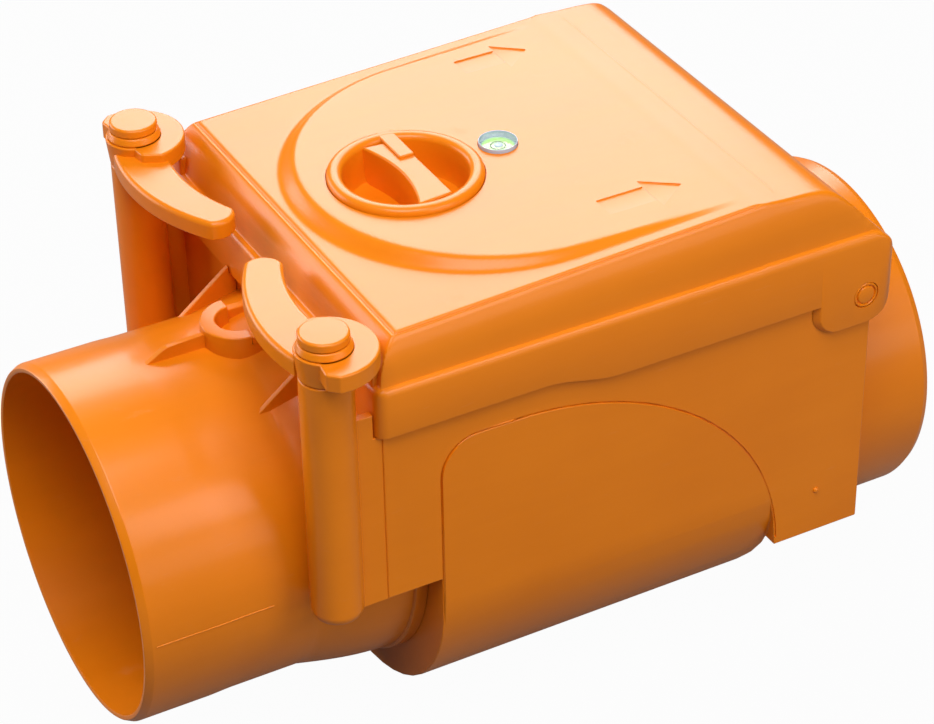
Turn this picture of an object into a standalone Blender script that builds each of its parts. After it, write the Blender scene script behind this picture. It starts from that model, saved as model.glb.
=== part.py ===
"""Backwater valve for a 160 mm drain pipe.

A moulded housing with a sump, an inlet and an outlet spigot, a flap that
hangs in front of a seat ring, and a hinged lid held by two swing latches.
A knob in the lid turns a cam that locks the flap shut.
Metres, +Z up, +X along the flow, origin under the middle of the part.
"""
import math

import bmesh
import bpy
from mathutils import Matrix, Vector

# Clearances
GAP = 0.0003
RUN = 0.0004
SWING = 0.0011
WELD = 0.000004

# Sides of round pieces, and steps along curves
PIPE_SIDES = 48
DISC_SIDES = 32
ROD_SIDES = 20
PIN_SIDES = 12
SCREW_SIDES = 10
CORNER_STEPS = 3
BEND_STEPS = 6
BOW_STEPS = 12
ARCH_STEPS = 12
FIELD_STEPS = 20
SECTOR_STEPS = 24
EDGE_STATIONS = 14
FLARE_STEPS = 4

# Pipe ends
PIPE_RADIUS = 0.080
PIPE_WALL = 0.004
INLET_LENGTH = 0.1011
OUTLET_LENGTH = 0.0519
LEAD_IN = 0.003
STEP_AT = 0.036
STEP_DROP = 0.001
FLARE_START = 0.078
FLARE_RISE = 0.006
WELD_RING_RISE = 0.007
WELD_RING_WIDTH = 0.006
SLEEVE_WALL = 0.002
SLEEVE_LENGTH = 0.008
OUTLET_FALL = 0.0135

# Housing
HOUSING_LENGTH = 0.236
WALL = 0.0034
RIM_ABOVE_PIPE = 0.023
BELLY_ROOM = 0.004
BELLY_FLAT = 0.0158
AXIS_RISE = 0.010
FRONT_BAY = 0.0254
BAY_RISE = 0.0007
SEAT_WALL = 0.004
SEAT_WALL_RISE = 0.001
REAR_BOX = 0.043
BELLY_REAR_ROUND = 0.040
PANEL_PROUD = 0.0008
PANEL_BELOW_PIPE = 0.009
PANEL_CORNER = 0.018
PANEL_FLAT = 0.0336
CHEEK_RISE = 0.008

# Posts, webs and ribs at the inlet end
POST_RADIUS = 0.0112
POST_FORWARD = 0.0204
POST_INSET = 0.0066
POST_TOP = 0.0147
POST_FOOT = 0.003
WEB_THICKNESS = 0.0034
WEB_INSET = 0.0008
WEB_DROP = 0.008
GUSSET_SPACING = 0.080
GUSSET_THICKNESS = 0.0026
GUSSET_REACH = 0.033
GUSSET_TOP = 0.010
GUSSET_FOOT = 0.016
COLLAR_RADIUS = 0.016
COLLAR_BORE = 0.0095
COLLAR_TOP = 0.0085
COLLAR_FORWARD = 0.0171
ARM_THICKNESS = 0.004
ARM_TOP = 0.005
RIB_THICKNESS = 0.0026
RIB_START = 0.040
RIB_KNEE = 0.0105
RIB_TOP = 0.0062

# Seat ring, gasket and screws
SEAT_STEP = 0.006
SEAT_LIP = 0.0042
SEAT_LIP_WIDTH = 0.006
SEAT_BORDER = 0.008
SEAT_FLANGE = 0.003
SEAT_GASKET = 0.0018
SCREW_COUNT = 4
SCREW_RADIUS = 0.0018
SCREW_HEAD_RADIUS = 0.0032
SCREW_HEAD = 0.0024
SCREW_GRIP = 0.0024

# Flap
FLAP_PLATE = 0.003
FLAP_SEAL = 0.002
FLAP_RIB = 0.005
FLAP_RIB_THICKNESS = 0.0028
FLAP_HINGE_RISE = 0.010
FLAP_KNUCKLE = 0.006
FLAP_KNUCKLE_LENGTH = 0.054
FLAP_PIN = 0.003
FLAP_LUG = 0.008
FLAP_ARM_WIDTH = 0.012
HORN_WIDTH = 0.012
HORN_THICKNESS = 0.0055
HORN_HEIGHT = 0.018
CLIP_THICKNESS = 0.001
CLIP_RADIUS = 0.0058

# Lid
LID_SKIRT = 0.0026
LID_FRONT_REACH = 0.0031
LID_REAR_REACH = 0.0094
LID_RIDGE_RISE = 0.0045
LID_LEDGE = 0.0036
LID_EDGE_DROP = 0.019
LID_EDGE_LOWER_DROP = 0.0252
LID_EDGE_STEP_AT = 0.0729
LID_EDGE_STEP_LENGTH = 0.036
LID_REAR_EDGE_DROP = 0.014
LID_REAR_WALL = 0.003
LID_REAR_ROOM_DROP = 0.006
LID_TOP = 0.0248
LID_SLOPE = 0.037
LID_SHELL = 0.0036
LID_CORNER = 0.005
LID_REAR_FALL = 0.045
LID_GASKET = 0.003
LID_GASKET_WIDTH = 0.003
HINGE_DROP = 0.026
HINGE_SETBACK = 0.0051
HINGE_PIN = 0.006
HINGE_PIN_SEAT = 0.007
EAR_RADIUS = 0.0145
EAR_THICKNESS = 0.0038
EAR_LENGTH = 0.0375
EAR_CORNER = 0.010
CATCH_WIDTH = 0.013
CATCH_DEPTH = 0.0065
PLATFORM_MARGIN = 0.0118
PLATFORM_SLOPE = 0.006
PLATFORM_RISE = 0.003
PLATFORM_INSET = 0.0129
PLATFORM_END = 0.007

# Rings of the lid's outer skin from its edge to its top: how far each stands in
# at the side, the front and the rear, its share of the rise above the ridge,
# its height above the rim at the rear, and how sharply it falls there
LID_RINGS = (
    (0.0, 0.0, 0.0, -0.06, -0.006, 6),
    (0.0009, 0.0009, 0.0020, 0.0, -0.0015, 6),
    (0.0016, 0.0018, 0.0035, 0.015, 0.0005, 5),
    (0.0021, 0.0024, 0.0050, 0.15, 0.0025, 4),
    (0.0031, 0.0036, 0.0105, 0.54, 0.0075, 3),
    (0.0050, 0.0061, 0.0185, 0.85, 0.0140, 3),
    (0.0078, 0.0096, 0.0325, 1.02, 0.0225, 2),
)
LID_TOP_RING = (0.0088, 0.0125, 0.0405, 0.0285, 2)
LID_FLAT_RING = (0.012, 0.016)

# Rings of the room under the lid's top: how far each stands in at the side and
# the front, and how many walls at the rear
ROOM_RINGS = ((0.0, 0.0, 1), (0.001, 0.001, 3), (0.0025, 0.005, 6))
ROOM_STEP = 0.0054
ROOM_TOP_RING = (0.0055, 0.010)

# Swing latches
LATCH_SECTOR = 0.0218
LATCH_SECTOR_HEIGHT = 0.008
LATCH_STEP = 0.0045
LATCH_ARM_HEIGHT = 0.0085
LATCH_HUB = 0.0112
LATCH_ARM_REST = 0.0167
LATCH_ARM_BOW = 0.0072
LATCH_TIP_OFFSET = 0.0022
LATCH_TIP_WIDTH = 0.0118
LATCH_TIP_SLANT = 0.0081
LATCH_FLAT_OFFSET = 0.004
LATCH_START = -100.0
BOLT_SHANK = 0.004
BOLT_HEAD_RADIUS = 0.010
BOLT_HEAD = 0.0038
BOLT_DEPTH = 0.016
WASHER_RADIUS = 0.0118
WASHER = 0.0032

# Lock knob, spindle and cam
KNOB_AT = 0.0639
KNOB_RADIUS = 0.032
KNOB_RIM_WIDTH = 0.0045
KNOB_RIM = 0.0032
KNOB_CUP_RADIUS = 0.0275
KNOB_DEPTH = 0.0165
KNOB_FLOOR = 0.0025
KNOB_BAR_WIDTH = 0.013
KNOB_BAR_FLARE = 0.019
KNOB_BAR_ANGLE = 72.0
WELL_WALL = 0.003
WELL_FLOOR = 0.003
SPINDLE_RADIUS = 0.005
O_RING_WIDTH = 0.002
CAM_HUB = 0.009
CAM_ARM_REACH = 0.033
CAM_ARM_WIDTH = 0.012
CAM_ARM = 0.0035
CAM_LIP = 0.006
CAM_LIP_DROP = 0.010
CAM_HORN_GAP = 0.002
CAM_SCREW_RADIUS = 0.0035
CAM_SCREW = 0.002
CAM_SCREW_SHANK = 0.0016
CAM_SCREW_GRIP = 0.006

# Bubble level
LEVEL_AT = 0.1099
LEVEL_OFFSET = 0.003
LEVEL_RADIUS = 0.0085
LEVEL_WALL = 0.0016
LEVEL_DEPTH = 0.008
LEVEL_FLOOR = 0.0016
LEVEL_LENS = 0.002
LEVEL_PROUD = 0.0006

# Places that follow from the sizes
MOUTH_X = -(INLET_LENGTH + HOUSING_LENGTH + OUTLET_LENGTH) / 2
FRONT_X = MOUTH_X + INLET_LENGTH
REAR_X = FRONT_X + HOUSING_LENGTH
END_X = REAR_X + OUTLET_LENGTH
BELLY_RADIUS = PIPE_RADIUS + BELLY_ROOM
AXIS_Z = BELLY_RADIUS + AXIS_RISE
OUTLET_Z = AXIS_Z - OUTLET_FALL
BORE = PIPE_RADIUS - PIPE_WALL
SIDE = BELLY_RADIUS + BELLY_FLAT
TOP_Z = AXIS_Z + PIPE_RADIUS + RIM_ABOVE_PIPE
BELLY_X = FRONT_X + FRONT_BAY
BELLY_END_X = REAR_X - REAR_BOX
CHEEK_Z = BELLY_REAR_ROUND + CHEEK_RISE
PANEL_REACH = BELLY_END_X - BELLY_X - PANEL_FLAT
PANEL_TOP_Z = AXIS_Z + PIPE_RADIUS - PANEL_BELOW_PIPE
SEAT_BORE = BORE - SEAT_STEP
FLAP_RADIUS = SEAT_BORE + SEAT_LIP_WIDTH
SEAT_FLANGE_RADIUS = FLAP_RADIUS + SEAT_BORDER
SEAT_WALL_TOP = AXIS_Z + SEAT_FLANGE_RADIUS + SEAT_WALL_RISE
SEAT_X = BELLY_X + SEAT_WALL
GASKET_X = SEAT_X + GAP
FLANGE_X = GASKET_X + SEAT_GASKET + GAP
LIP_END_X = FLANGE_X + SEAT_FLANGE + SEAT_LIP
SEAL_X = LIP_END_X + GAP
PLATE_X = SEAL_X + FLAP_SEAL + GAP
FLAP_HINGE = Vector((PLATE_X, 0.0, AXIS_Z + FLAP_RADIUS + FLAP_HINGE_RISE))
POST_X = FRONT_X - POST_FORWARD
POST_Y = SIDE - POST_INSET
POST_TOP_Z = TOP_Z + POST_TOP
LID_X = FRONT_X - LID_FRONT_REACH
LID_END_X = REAR_X + LID_REAR_REACH
LID_SIDE = SIDE + RUN + LID_SKIRT
LID_HINGE = Vector((REAR_X - HINGE_SETBACK, 0.0, TOP_Z - HINGE_DROP))
BREAK_X = REAR_X - LID_REAR_FALL
KNOB_X = FRONT_X + KNOB_AT
LEVEL_X = FRONT_X + LEVEL_AT
PLATFORM_RADIUS = SIDE - PLATFORM_MARGIN
PLATFORM_X = FRONT_X + PLATFORM_INSET + PLATFORM_RADIUS
ARM_Z = POST_TOP_Z + GAP
ARM_REACH = POST_Y - LATCH_ARM_REST
SECTOR_Z = ARM_Z + LATCH_STEP
SECTOR_TOP_Z = SECTOR_Z + LATCH_SECTOR_HEIGHT
WASHER_Z = SECTOR_TOP_Z + GAP
BOLT_Z = WASHER_Z + WASHER + GAP

ORANGE = (1.0, 0.21, 0.0, 1.0)
DEEP_ORANGE = (0.85, 0.16, 0.0, 1.0)
BLACK_RUBBER = (0.02, 0.02, 0.022, 1.0)
STEEL = (0.62, 0.63, 0.65, 1.0)
WHITE = (0.85, 0.86, 0.84, 1.0)
LEVEL_GREEN = (0.35, 0.78, 0.10, 1.0)
CLEAR = (0.80, 0.88, 0.90, 1.0)


def lid_top(x):
    """Height of the lid's sloping top above the given place along the flow."""
    return TOP_Z + LID_TOP + LID_SLOPE * (x - FRONT_X)


KNOB_SEAT_Z = lid_top(KNOB_X - KNOB_RADIUS - RUN) + PLATFORM_RISE
KNOB_Z = KNOB_SEAT_Z + GAP
WELL_Z = KNOB_Z - KNOB_DEPTH - GAP
CAM_Z = FLAP_HINGE.z + HORN_HEIGHT + CAM_HORN_GAP
LEVEL_Z = lid_top(LEVEL_X) + PLATFORM_RISE + LEVEL_PROUD


def make_material(name, colour, roughness, metallic=0.0):
    """A Principled material with one colour."""
    material = bpy.data.materials.new(name)
    material.use_nodes = True
    shader = material.node_tree.nodes["Principled BSDF"]
    shader.inputs["Base Color"].default_value = colour
    shader.inputs["Roughness"].default_value = roughness
    shader.inputs["Metallic"].default_value = metallic
    material.diffuse_color = colour
    return material


def arc(centre_a, centre_b, radius, start, end, steps):
    """Points on an arc in a plane, angles in degrees."""
    points = []
    for i in range(steps + 1):
        angle = math.radians(start + (end - start) * i / steps)
        points.append((centre_a + radius * math.cos(angle), centre_b + radius * math.sin(angle)))
    return points


def rounded_rectangle(low_a, high_a, low_b, high_b, radius, steps=CORNER_STEPS):
    """Counter-clockwise outline of a rectangle with round corners."""
    outline = arc(high_a - radius, high_b - radius, radius, 0, 90, steps)
    outline += arc(low_a + radius, high_b - radius, radius, 90, 180, steps)
    outline += arc(low_a + radius, low_b + radius, radius, 180, 270, steps)
    outline += arc(high_a - radius, low_b + radius, radius, 270, 360, steps)
    return outline


def solid(name, bm):
    """A mesh object from a closed bmesh, with its faces turned outwards."""
    bmesh.ops.recalc_face_normals(bm, faces=bm.faces)
    mesh = bpy.data.meshes.new(name)
    bm.to_mesh(mesh)
    bm.free()
    body = bpy.data.objects.new(name, mesh)
    bpy.context.scene.collection.objects.link(body)
    return body


def skin_loops(bm, loops, closed=False):
    """Join rings of points with quads, and cap the two ends unless it is closed."""
    rings = [[bm.verts.new(point) for point in loop] for loop in loops]
    count = len(rings[0])
    pairs = list(zip(rings, rings[1:]))
    if closed:
        pairs.append((rings[-1], rings[0]))
    for lower, upper in pairs:
        for i in range(count):
            j = (i + 1) % count
            bm.faces.new((lower[i], lower[j], upper[j], upper[i]))
    if not closed:
        bm.faces.new(rings[0][::-1])
        bm.faces.new(rings[-1])


def prism(name, outline, axis, low, high):
    """Extrude an outline along X, Y or Z between two places on that axis."""
    place = {
        "X": lambda a, b, c: (c, a, b),
        "Y": lambda a, b, c: (a, c, b),
        "Z": lambda a, b, c: (a, b, c),
    }[axis]
    bm = bmesh.new()
    skin_loops(bm, [[place(a, b, c) for a, b in outline] for c in (low, high)])
    return solid(name, bm)


def box(name, low, high):
    """A box between two corners."""
    outline = [(low[0], low[1]), (high[0], low[1]), (high[0], high[1]), (low[0], high[1])]
    return prism(name, outline, "Z", low[2], high[2])


def turned(name, profile, axis, centre, segments=DISC_SIDES):
    """Turn a closed profile of (along, radius) points round an axis.

    A profile that starts and ends on the axis makes a solid piece, and one
    that stays off it makes a ring.
    """
    place = {
        "X": lambda a, r, c, s: (a, r * c, r * s),
        "Y": lambda a, r, c, s: (r * s, a, r * c),
        "Z": lambda a, r, c, s: (r * c, r * s, a),
    }[axis]
    bm = bmesh.new()
    rings = []
    for along, radius in profile:
        if radius == 0.0:
            ring = [bm.verts.new(Vector(place(along, 0.0, 1.0, 0.0)) + Vector(centre))]
        else:
            ring = []
            for i in range(segments):
                angle = 2 * math.pi * i / segments
                point = place(along, radius, math.cos(angle), math.sin(angle))
                ring.append(bm.verts.new(Vector(point) + Vector(centre)))
        rings.append(ring)
    pairs = list(zip(rings, rings[1:]))
    if len(rings[0]) > 1:
        pairs.append((rings[-1], rings[0]))
    for first, second in pairs:
        for i in range(segments):
            j = (i + 1) % segments
            corners = [first[i % len(first)], first[j % len(first)]]
            corners += [second[j % len(second)], second[i % len(second)]]
            face = []
            for corner in corners:
                if corner not in face:
                    face.append(corner)
            if len(face) > 2:
                bm.faces.new(face)
    return solid(name, bm)


def rod(name, axis, centre, radius, low, high, segments=ROD_SIDES):
    """A plain cylinder between two places along its axis."""
    profile = [(low, 0.0), (low, radius), (high, radius), (high, 0.0)]
    return turned(name, profile, axis, centre, segments)


def ring(name, axis, centre, inner, outer, low, high, segments=DISC_SIDES):
    """A flat ring between two places along its axis."""
    profile = [(low, inner), (low, outer), (high, outer), (high, inner)]
    return turned(name, profile, axis, centre, segments)


def weld(mesh):
    """Merge points that a cut left within a few microns of each other."""
    bm = bmesh.new()
    bm.from_mesh(mesh)
    bmesh.ops.remove_doubles(bm, verts=bm.verts, dist=WELD)
    bm.to_mesh(mesh)
    bm.free()


def combine(base, tool, operation):
    """Apply a Boolean and remove the tool."""
    modifier = base.modifiers.new("Combine", "BOOLEAN")
    modifier.operation = operation
    modifier.object = tool
    view = bpy.context.evaluated_depsgraph_get()
    result = bpy.data.meshes.new_from_object(base.evaluated_get(view))
    base.modifiers.clear()
    weld(result)
    base.data = result
    bpy.data.objects.remove(tool)
    return base


def add(base, *tools):
    """Join solids to a base."""
    for tool in tools:
        combine(base, tool, "UNION")
    return base


def cut(base, *tools):
    """Cut solids out of a base."""
    for tool in tools:
        combine(base, tool, "DIFFERENCE")
    return base


def mirror_y(body, name):
    """A copy of a solid on the other side of the middle plane."""
    mesh = body.data.copy()
    mesh.transform(Matrix.Scale(-1.0, 4, Vector((0.0, 1.0, 0.0))))
    mesh.flip_normals()
    copy = bpy.data.objects.new(name, mesh)
    bpy.context.scene.collection.objects.link(copy)
    return copy


def finish(body, name, material, origin=(0.0, 0.0, 0.0), parent=None, angle=32.0):
    """Name a solid, put its origin on its axis, and give it its material."""
    origin = Vector(origin)
    body.name = name
    body.data.name = name
    body.data.transform(Matrix.Translation(-origin))
    body.location = origin
    if parent:
        body.parent = parent
        body.location = origin - parent.location
    body.data.materials.clear()
    body.data.materials.append(material)
    body.data.shade_smooth()
    body.data.set_sharp_from_angle(angle=math.radians(angle))
    return body


def flare_profile(gap=0.0):
    """Outer line of the inlet spigot from the mouth to its weld ring."""
    ring_end = BELLY_X - GAP + gap
    ring_start = BELLY_X - GAP - WELD_RING_WIDTH
    start = MOUTH_X + FLARE_START
    slim = PIPE_RADIUS - STEP_DROP
    points = [
        (MOUTH_X, PIPE_RADIUS - LEAD_IN / 2),
        (MOUTH_X + LEAD_IN, PIPE_RADIUS),
        (MOUTH_X + STEP_AT, PIPE_RADIUS),
        (MOUTH_X + STEP_AT + STEP_DROP, slim),
        (start, slim),
    ]
    for i in range(1, FLARE_STEPS + 1):
        share = i / FLARE_STEPS
        bulge = math.sin(share * math.pi / 2)
        points.append((start + (ring_start - start) * share, slim + FLARE_RISE * bulge))
    weld_ring = PIPE_RADIUS + WELD_RING_RISE
    points += [(ring_start, weld_ring), (ring_end, weld_ring)]
    return [(x, radius + gap) for x, radius in points]


def inlet_spigot(material):
    """Pipe end on the inlet side, flared where it joins the housing."""
    outer = flare_profile()
    profile = outer + [(outer[-1][0], BORE), (MOUTH_X, BORE)]
    body = turned("spigot", profile, "X", (0.0, 0.0, AXIS_Z), PIPE_SIDES)
    collar_edge = FRONT_X - COLLAR_FORWARD - COLLAR_RADIUS - GAP
    low = AXIS_Z + BORE + PIPE_WALL / 2
    top = AXIS_Z + PIPE_RADIUS + RIB_TOP
    start = MOUTH_X + RIB_START
    rib = [(start, low), (collar_edge, low), (collar_edge, top), (start + RIB_KNEE, top - STEP_DROP)]
    rib.append((start, AXIS_Z + PIPE_RADIUS - STEP_DROP))
    add(body, prism("rib", rib, "Y", -RIB_THICKNESS / 2, RIB_THICKNESS / 2))
    return finish(body, "inlet_spigot", material)


def outlet_spigot(material):
    """Pipe end on the outlet side, with a sleeve that enters the rear wall."""
    sleeve = BORE + SLEEVE_WALL
    profile = [
        (REAR_X - SLEEVE_LENGTH, BORE),
        (REAR_X - SLEEVE_LENGTH, sleeve),
        (REAR_X + GAP, sleeve),
        (REAR_X + GAP, PIPE_RADIUS),
        (END_X - LEAD_IN, PIPE_RADIUS),
        (END_X, PIPE_RADIUS - LEAD_IN / 2),
        (END_X, BORE),
    ]
    body = turned("spigot", profile, "X", (0.0, 0.0, OUTLET_Z), PIPE_SIDES)
    return finish(body, "outlet_spigot", material)


def belly_outline(inset):
    """Cross-section of the sump: upright sides and a round bottom."""
    flat = SIDE - BELLY_RADIUS
    side = SIDE + PANEL_PROUD - inset
    top = PANEL_TOP_Z + WALL
    drop = BELLY_RADIUS - inset
    outline = [(side, top), (-side, top)]
    for start, centre in ((180, -flat), (270, flat)):
        for i in range(ARCH_STEPS + 1):
            angle = math.radians(start + 90 * i / ARCH_STEPS)
            across = centre + (side - flat) * math.cos(angle)
            outline.append((across, BELLY_RADIUS + drop * math.sin(angle)))
    return outline


def arch_outline(inset=0.0):
    """Side view of the sump: upright in front, arched on top, round at the rear foot."""
    front = BELLY_X
    low = CHEEK_Z
    rise = PANEL_TOP_Z - CHEEK_Z
    centre = BELLY_END_X - PANEL_REACH
    rear = BELLY_END_X - inset
    foot = BELLY_REAR_ROUND
    outline = arc(rear - foot, inset + foot, foot, 270, 360, BEND_STEPS)
    for i in range(ARCH_STEPS + 1):
        angle = math.radians(90 * i / ARCH_STEPS)
        across = centre + (PANEL_REACH - inset) * math.cos(angle)
        outline.append((across, low + rise * math.sin(angle)))
    corner = PANEL_CORNER
    outline += arc(front + corner, PANEL_TOP_Z - corner, corner, 90, 180, BEND_STEPS)
    outline.append((front, inset))
    return outline


def belly(name, inset, front):
    """The sump's solid form, or its hollow when it is inset by the wall."""
    body = prism(name, belly_outline(inset), "X", front, BELLY_END_X + WALL)
    form = prism("form", arch_outline(inset), "Y", -2 * SIDE, 2 * SIDE)
    return combine(body, form, "INTERSECT")


def rear_cheeks():
    """Square rear end of the housing, cut away where the sump's arch runs."""
    low = (BELLY_END_X - REAR_BOX, -SIDE, CHEEK_Z)
    body = box("cheeks", low, (REAR_X, SIDE, AXIS_Z + 2 * WALL))
    return cut(body, prism("arch", arch_outline(WALL / 4), "Y", -2 * SIDE, 2 * SIDE))


def housing_form():
    """Outer form of the housing before it is hollowed."""
    body = box("housing", (FRONT_X, -SIDE, AXIS_Z + BAY_RISE), (REAR_X, SIDE, TOP_Z))
    add(body, rear_cheeks(), belly("belly", 0.0, BELLY_X))
    boss = OUTLET_Z - GAP
    start = BELLY_END_X - BELLY_REAR_ROUND - WALL
    return add(body, rod("boss", "X", (0, 0, OUTLET_Z), boss, start, REAR_X, PIPE_SIDES))


def housing_hollow():
    """Room inside the housing: upper chamber, sump and way to the outlet."""
    inner = SIDE - WALL
    floor = AXIS_Z + BAY_RISE + WALL
    body = box("hollow", (FRONT_X + WALL, -inner, floor), (REAR_X - WALL, inner, TOP_Z + WALL))
    add(body, belly("sump", WALL + PANEL_PROUD, BELLY_X + SEAT_WALL))
    rear_low = CHEEK_Z + WALL
    rear_top = floor + WALL
    side = inner - GAP
    add(body, box("rear", (BELLY_END_X, -side, rear_low), (REAR_X - WALL - GAP, side, rear_top)))
    start = BELLY_END_X - BELLY_REAR_ROUND
    add(body, rod("way", "X", (0, 0, OUTLET_Z), BORE, start, REAR_X - WALL, PIPE_SIDES))
    return body


def pipe_room():
    """Form that clears the inlet spigot's outside."""
    room = flare_profile(GAP)
    room = [(room[0][0] - GAP, 0.0)] + room + [(room[-1][0], 0.0)]
    return turned("pipe room", room, "X", (0, 0, AXIS_Z), PIPE_SIDES)


def skirt_room():
    """Form that clears the front skirt of the lid."""
    low = (LID_X - RUN, -SIDE, TOP_Z - LID_EDGE_DROP - RUN)
    return box("skirt room", low, (FRONT_X, SIDE, TOP_Z))


def latch_posts(material):
    """Latch posts with a rounded foot, each with the web that ties it to the wall."""
    low = AXIS_Z - POST_FOOT
    soft = POST_RADIUS / 3
    profile = [(low, 0.0), (low, POST_RADIUS - soft), (low + soft / 3, POST_RADIUS - soft / 3)]
    profile += [(low + soft, POST_RADIUS), (POST_TOP_Z, POST_RADIUS), (POST_TOP_Z, 0.0)]
    outer = SIDE - WEB_INSET
    web_end = FRONT_X - GAP
    for side, word in ((-1, "near"), (1, "far")):
        place = (POST_X, side * POST_Y, 0.0)
        body = turned("post", profile, "Z", place, DISC_SIDES)
        faces = sorted((side * outer, side * (outer - WEB_THICKNESS)))
        top = TOP_Z - WEB_DROP
        web = box("web", (POST_X, faces[0], AXIS_Z), (web_end, faces[1], top))
        add(body, cut(web, skirt_room()))
        depth = POST_TOP_Z - BOLT_DEPTH - GAP
        hole = BOLT_SHANK + GAP
        cut(body, rod("bolt", "Z", place, hole, depth, POST_TOP_Z + WALL, ROD_SIDES))
        finish(body, f"latch_post_{word}", material)


def support_ribs(material):
    """Thin sloping ribs between the pipe and the front wall."""
    foot = AXIS_Z + PIPE_RADIUS - GUSSET_FOOT
    top = AXIS_Z + PIPE_RADIUS + GUSSET_TOP
    wall = FRONT_X - GAP
    outline = [(FRONT_X - GUSSET_REACH, foot), (wall, foot), (wall, top)]
    half = GUSSET_THICKNESS / 2
    for side, word in ((-1, "near"), (1, "far")):
        centre = side * GUSSET_SPACING / 2
        body = prism("rib", outline, "Y", centre - half, centre + half)
        finish(cut(body, pipe_room(), skirt_room()), f"support_rib_{word}", material)


def pipe_collar(material):
    """Open collar on top of the pipe, with two arms back to the front wall."""
    centre = FRONT_X - COLLAR_FORWARD
    low = AXIS_Z + BORE
    top = AXIS_Z + PIPE_RADIUS + COLLAR_TOP
    body = rod("collar", "Z", (centre, 0, 0), COLLAR_RADIUS, low, top, DISC_SIDES)
    back = (centre, -2 * COLLAR_RADIUS, low - GAP)
    cut(body, box("back", back, (FRONT_X, 2 * COLLAR_RADIUS, top + GAP)))
    arm_top = AXIS_Z + PIPE_RADIUS + ARM_TOP
    for side in (-1, 1):
        faces = sorted((side * COLLAR_RADIUS, side * (COLLAR_RADIUS - ARM_THICKNESS)))
        lower = (centre - GAP, faces[0], low)
        add(body, box("arm", lower, (FRONT_X - GAP, faces[1], arm_top)))
    cut(body, rod("bore", "Z", (centre, 0, 0), COLLAR_BORE, low - GAP, TOP_Z, ROD_SIDES))
    return finish(cut(body, pipe_room(), skirt_room()), "pipe_collar", material)


def hinge_boss(side):
    """Round boss inside a side wall for a lid hinge pin."""
    reach = SIDE - WALL - HINGE_PIN_SEAT
    low, high = sorted((side * (SIDE - WALL / 2), side * reach))
    return rod("boss", "Y", (LID_HINGE.x, 0, LID_HINGE.z), HINGE_PIN + WALL, low, high, ROD_SIDES)


def seat_screw_places():
    """Where the seat's screws stand, on the flange outside its lip."""
    radius = (SEAT_BORE + SEAT_LIP_WIDTH + SEAT_FLANGE_RADIUS) / 2
    places = []
    for i in range(SCREW_COUNT):
        angle = 2 * math.pi * (i + 0.5) / SCREW_COUNT
        places.append((radius * math.cos(angle), AXIS_Z + radius * math.sin(angle)))
    return places


def screw_holes(body, low, high):
    """Cut the seat's screw holes through a piece."""
    for y, z in seat_screw_places():
        cut(body, rod("hole", "X", (0, y, z), SCREW_RADIUS + GAP, low, high, SCREW_SIDES))
    return body


def housing(material):
    """Moulded body: chamber, sump, seat wall, hinge bosses and pipe openings."""
    body = cut(housing_form(), housing_hollow())
    inner = SIDE - WALL / 2
    low = AXIS_Z + BAY_RISE + WALL / 2
    add(body, box("seat wall", (BELLY_X, -inner, low), (SEAT_X, inner, SEAT_WALL_TOP)))
    for side in (-1, 1):
        add(body, hinge_boss(side))
        depth = SIDE - WALL - HINGE_PIN_SEAT + WALL / 2
        ends = sorted((side * depth, side * (SIDE + WALL)))
        cut(body, rod("pin", "Y", (LID_HINGE.x, 0, LID_HINGE.z), HINGE_PIN + GAP, *ends, ROD_SIDES))
    cut(body, pipe_room())
    bore = rod("bore", "X", (0, 0, AXIS_Z), BORE, BELLY_X - WALL, SEAT_X + WALL / 2, PIPE_SIDES)
    sleeve = BORE + SLEEVE_WALL + GAP
    start = REAR_X - SLEEVE_LENGTH - GAP
    exit_hole = rod("exit", "X", (0, 0, OUTLET_Z), sleeve, start, REAR_X + WALL, PIPE_SIDES)
    cut(body, bore, exit_hole)
    screw_holes(body, SEAT_X - SCREW_GRIP - GAP, SEAT_X + WALL)
    return finish(body, "housing", material)


def seat_ring(material):
    """Seat that the flap closes on, with two lugs for the flap's pin."""
    lip = SEAT_BORE + SEAT_LIP_WIDTH
    profile = [
        (FLANGE_X, SEAT_BORE),
        (FLANGE_X, SEAT_FLANGE_RADIUS),
        (FLANGE_X + SEAT_FLANGE, SEAT_FLANGE_RADIUS),
        (FLANGE_X + SEAT_FLANGE, lip),
        (LIP_END_X, lip),
        (LIP_END_X, SEAT_BORE),
    ]
    body = turned("seat", profile, "X", (0, 0, AXIS_Z), PIPE_SIDES)
    near = FLAP_KNUCKLE_LENGTH / 2 + RUN
    foot = AXIS_Z + SEAT_BORE + SEAT_LIP_WIDTH / 2
    for side in (-1, 1):
        faces = sorted((side * near, side * (near + FLAP_LUG)))
        outline = [(FLANGE_X, foot), (FLANGE_X + SEAT_FLANGE, foot)]
        outline += arc(FLAP_HINGE.x, FLAP_HINGE.z, FLAP_KNUCKLE, -60, 120, BEND_STEPS)
        outline.append((FLANGE_X, FLAP_HINGE.z))
        add(body, prism("lug", outline, "Y", *faces))
    hole = FLAP_PIN + GAP
    ends = (-near - 2 * FLAP_LUG, near + 2 * FLAP_LUG)
    cut(body, rod("pin", "Y", (FLAP_HINGE.x, 0, FLAP_HINGE.z), hole, *ends, PIN_SIDES))
    screw_holes(body, FLANGE_X - GAP, FLANGE_X + SEAT_FLANGE + GAP)
    return finish(body, "seat_ring", material)


def seat_gasket(material):
    """Flat rubber ring between the seat's flange and the seat wall."""
    inner = BORE + RUN
    ends = (GASKET_X, GASKET_X + SEAT_GASKET)
    body = ring("gasket", "X", (0, 0, AXIS_Z), inner, SEAT_FLANGE_RADIUS - RUN, *ends, PIPE_SIDES)
    screw_holes(body, ends[0] - GAP, ends[1] + GAP)
    return finish(body, "seat_gasket", material)


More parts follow.
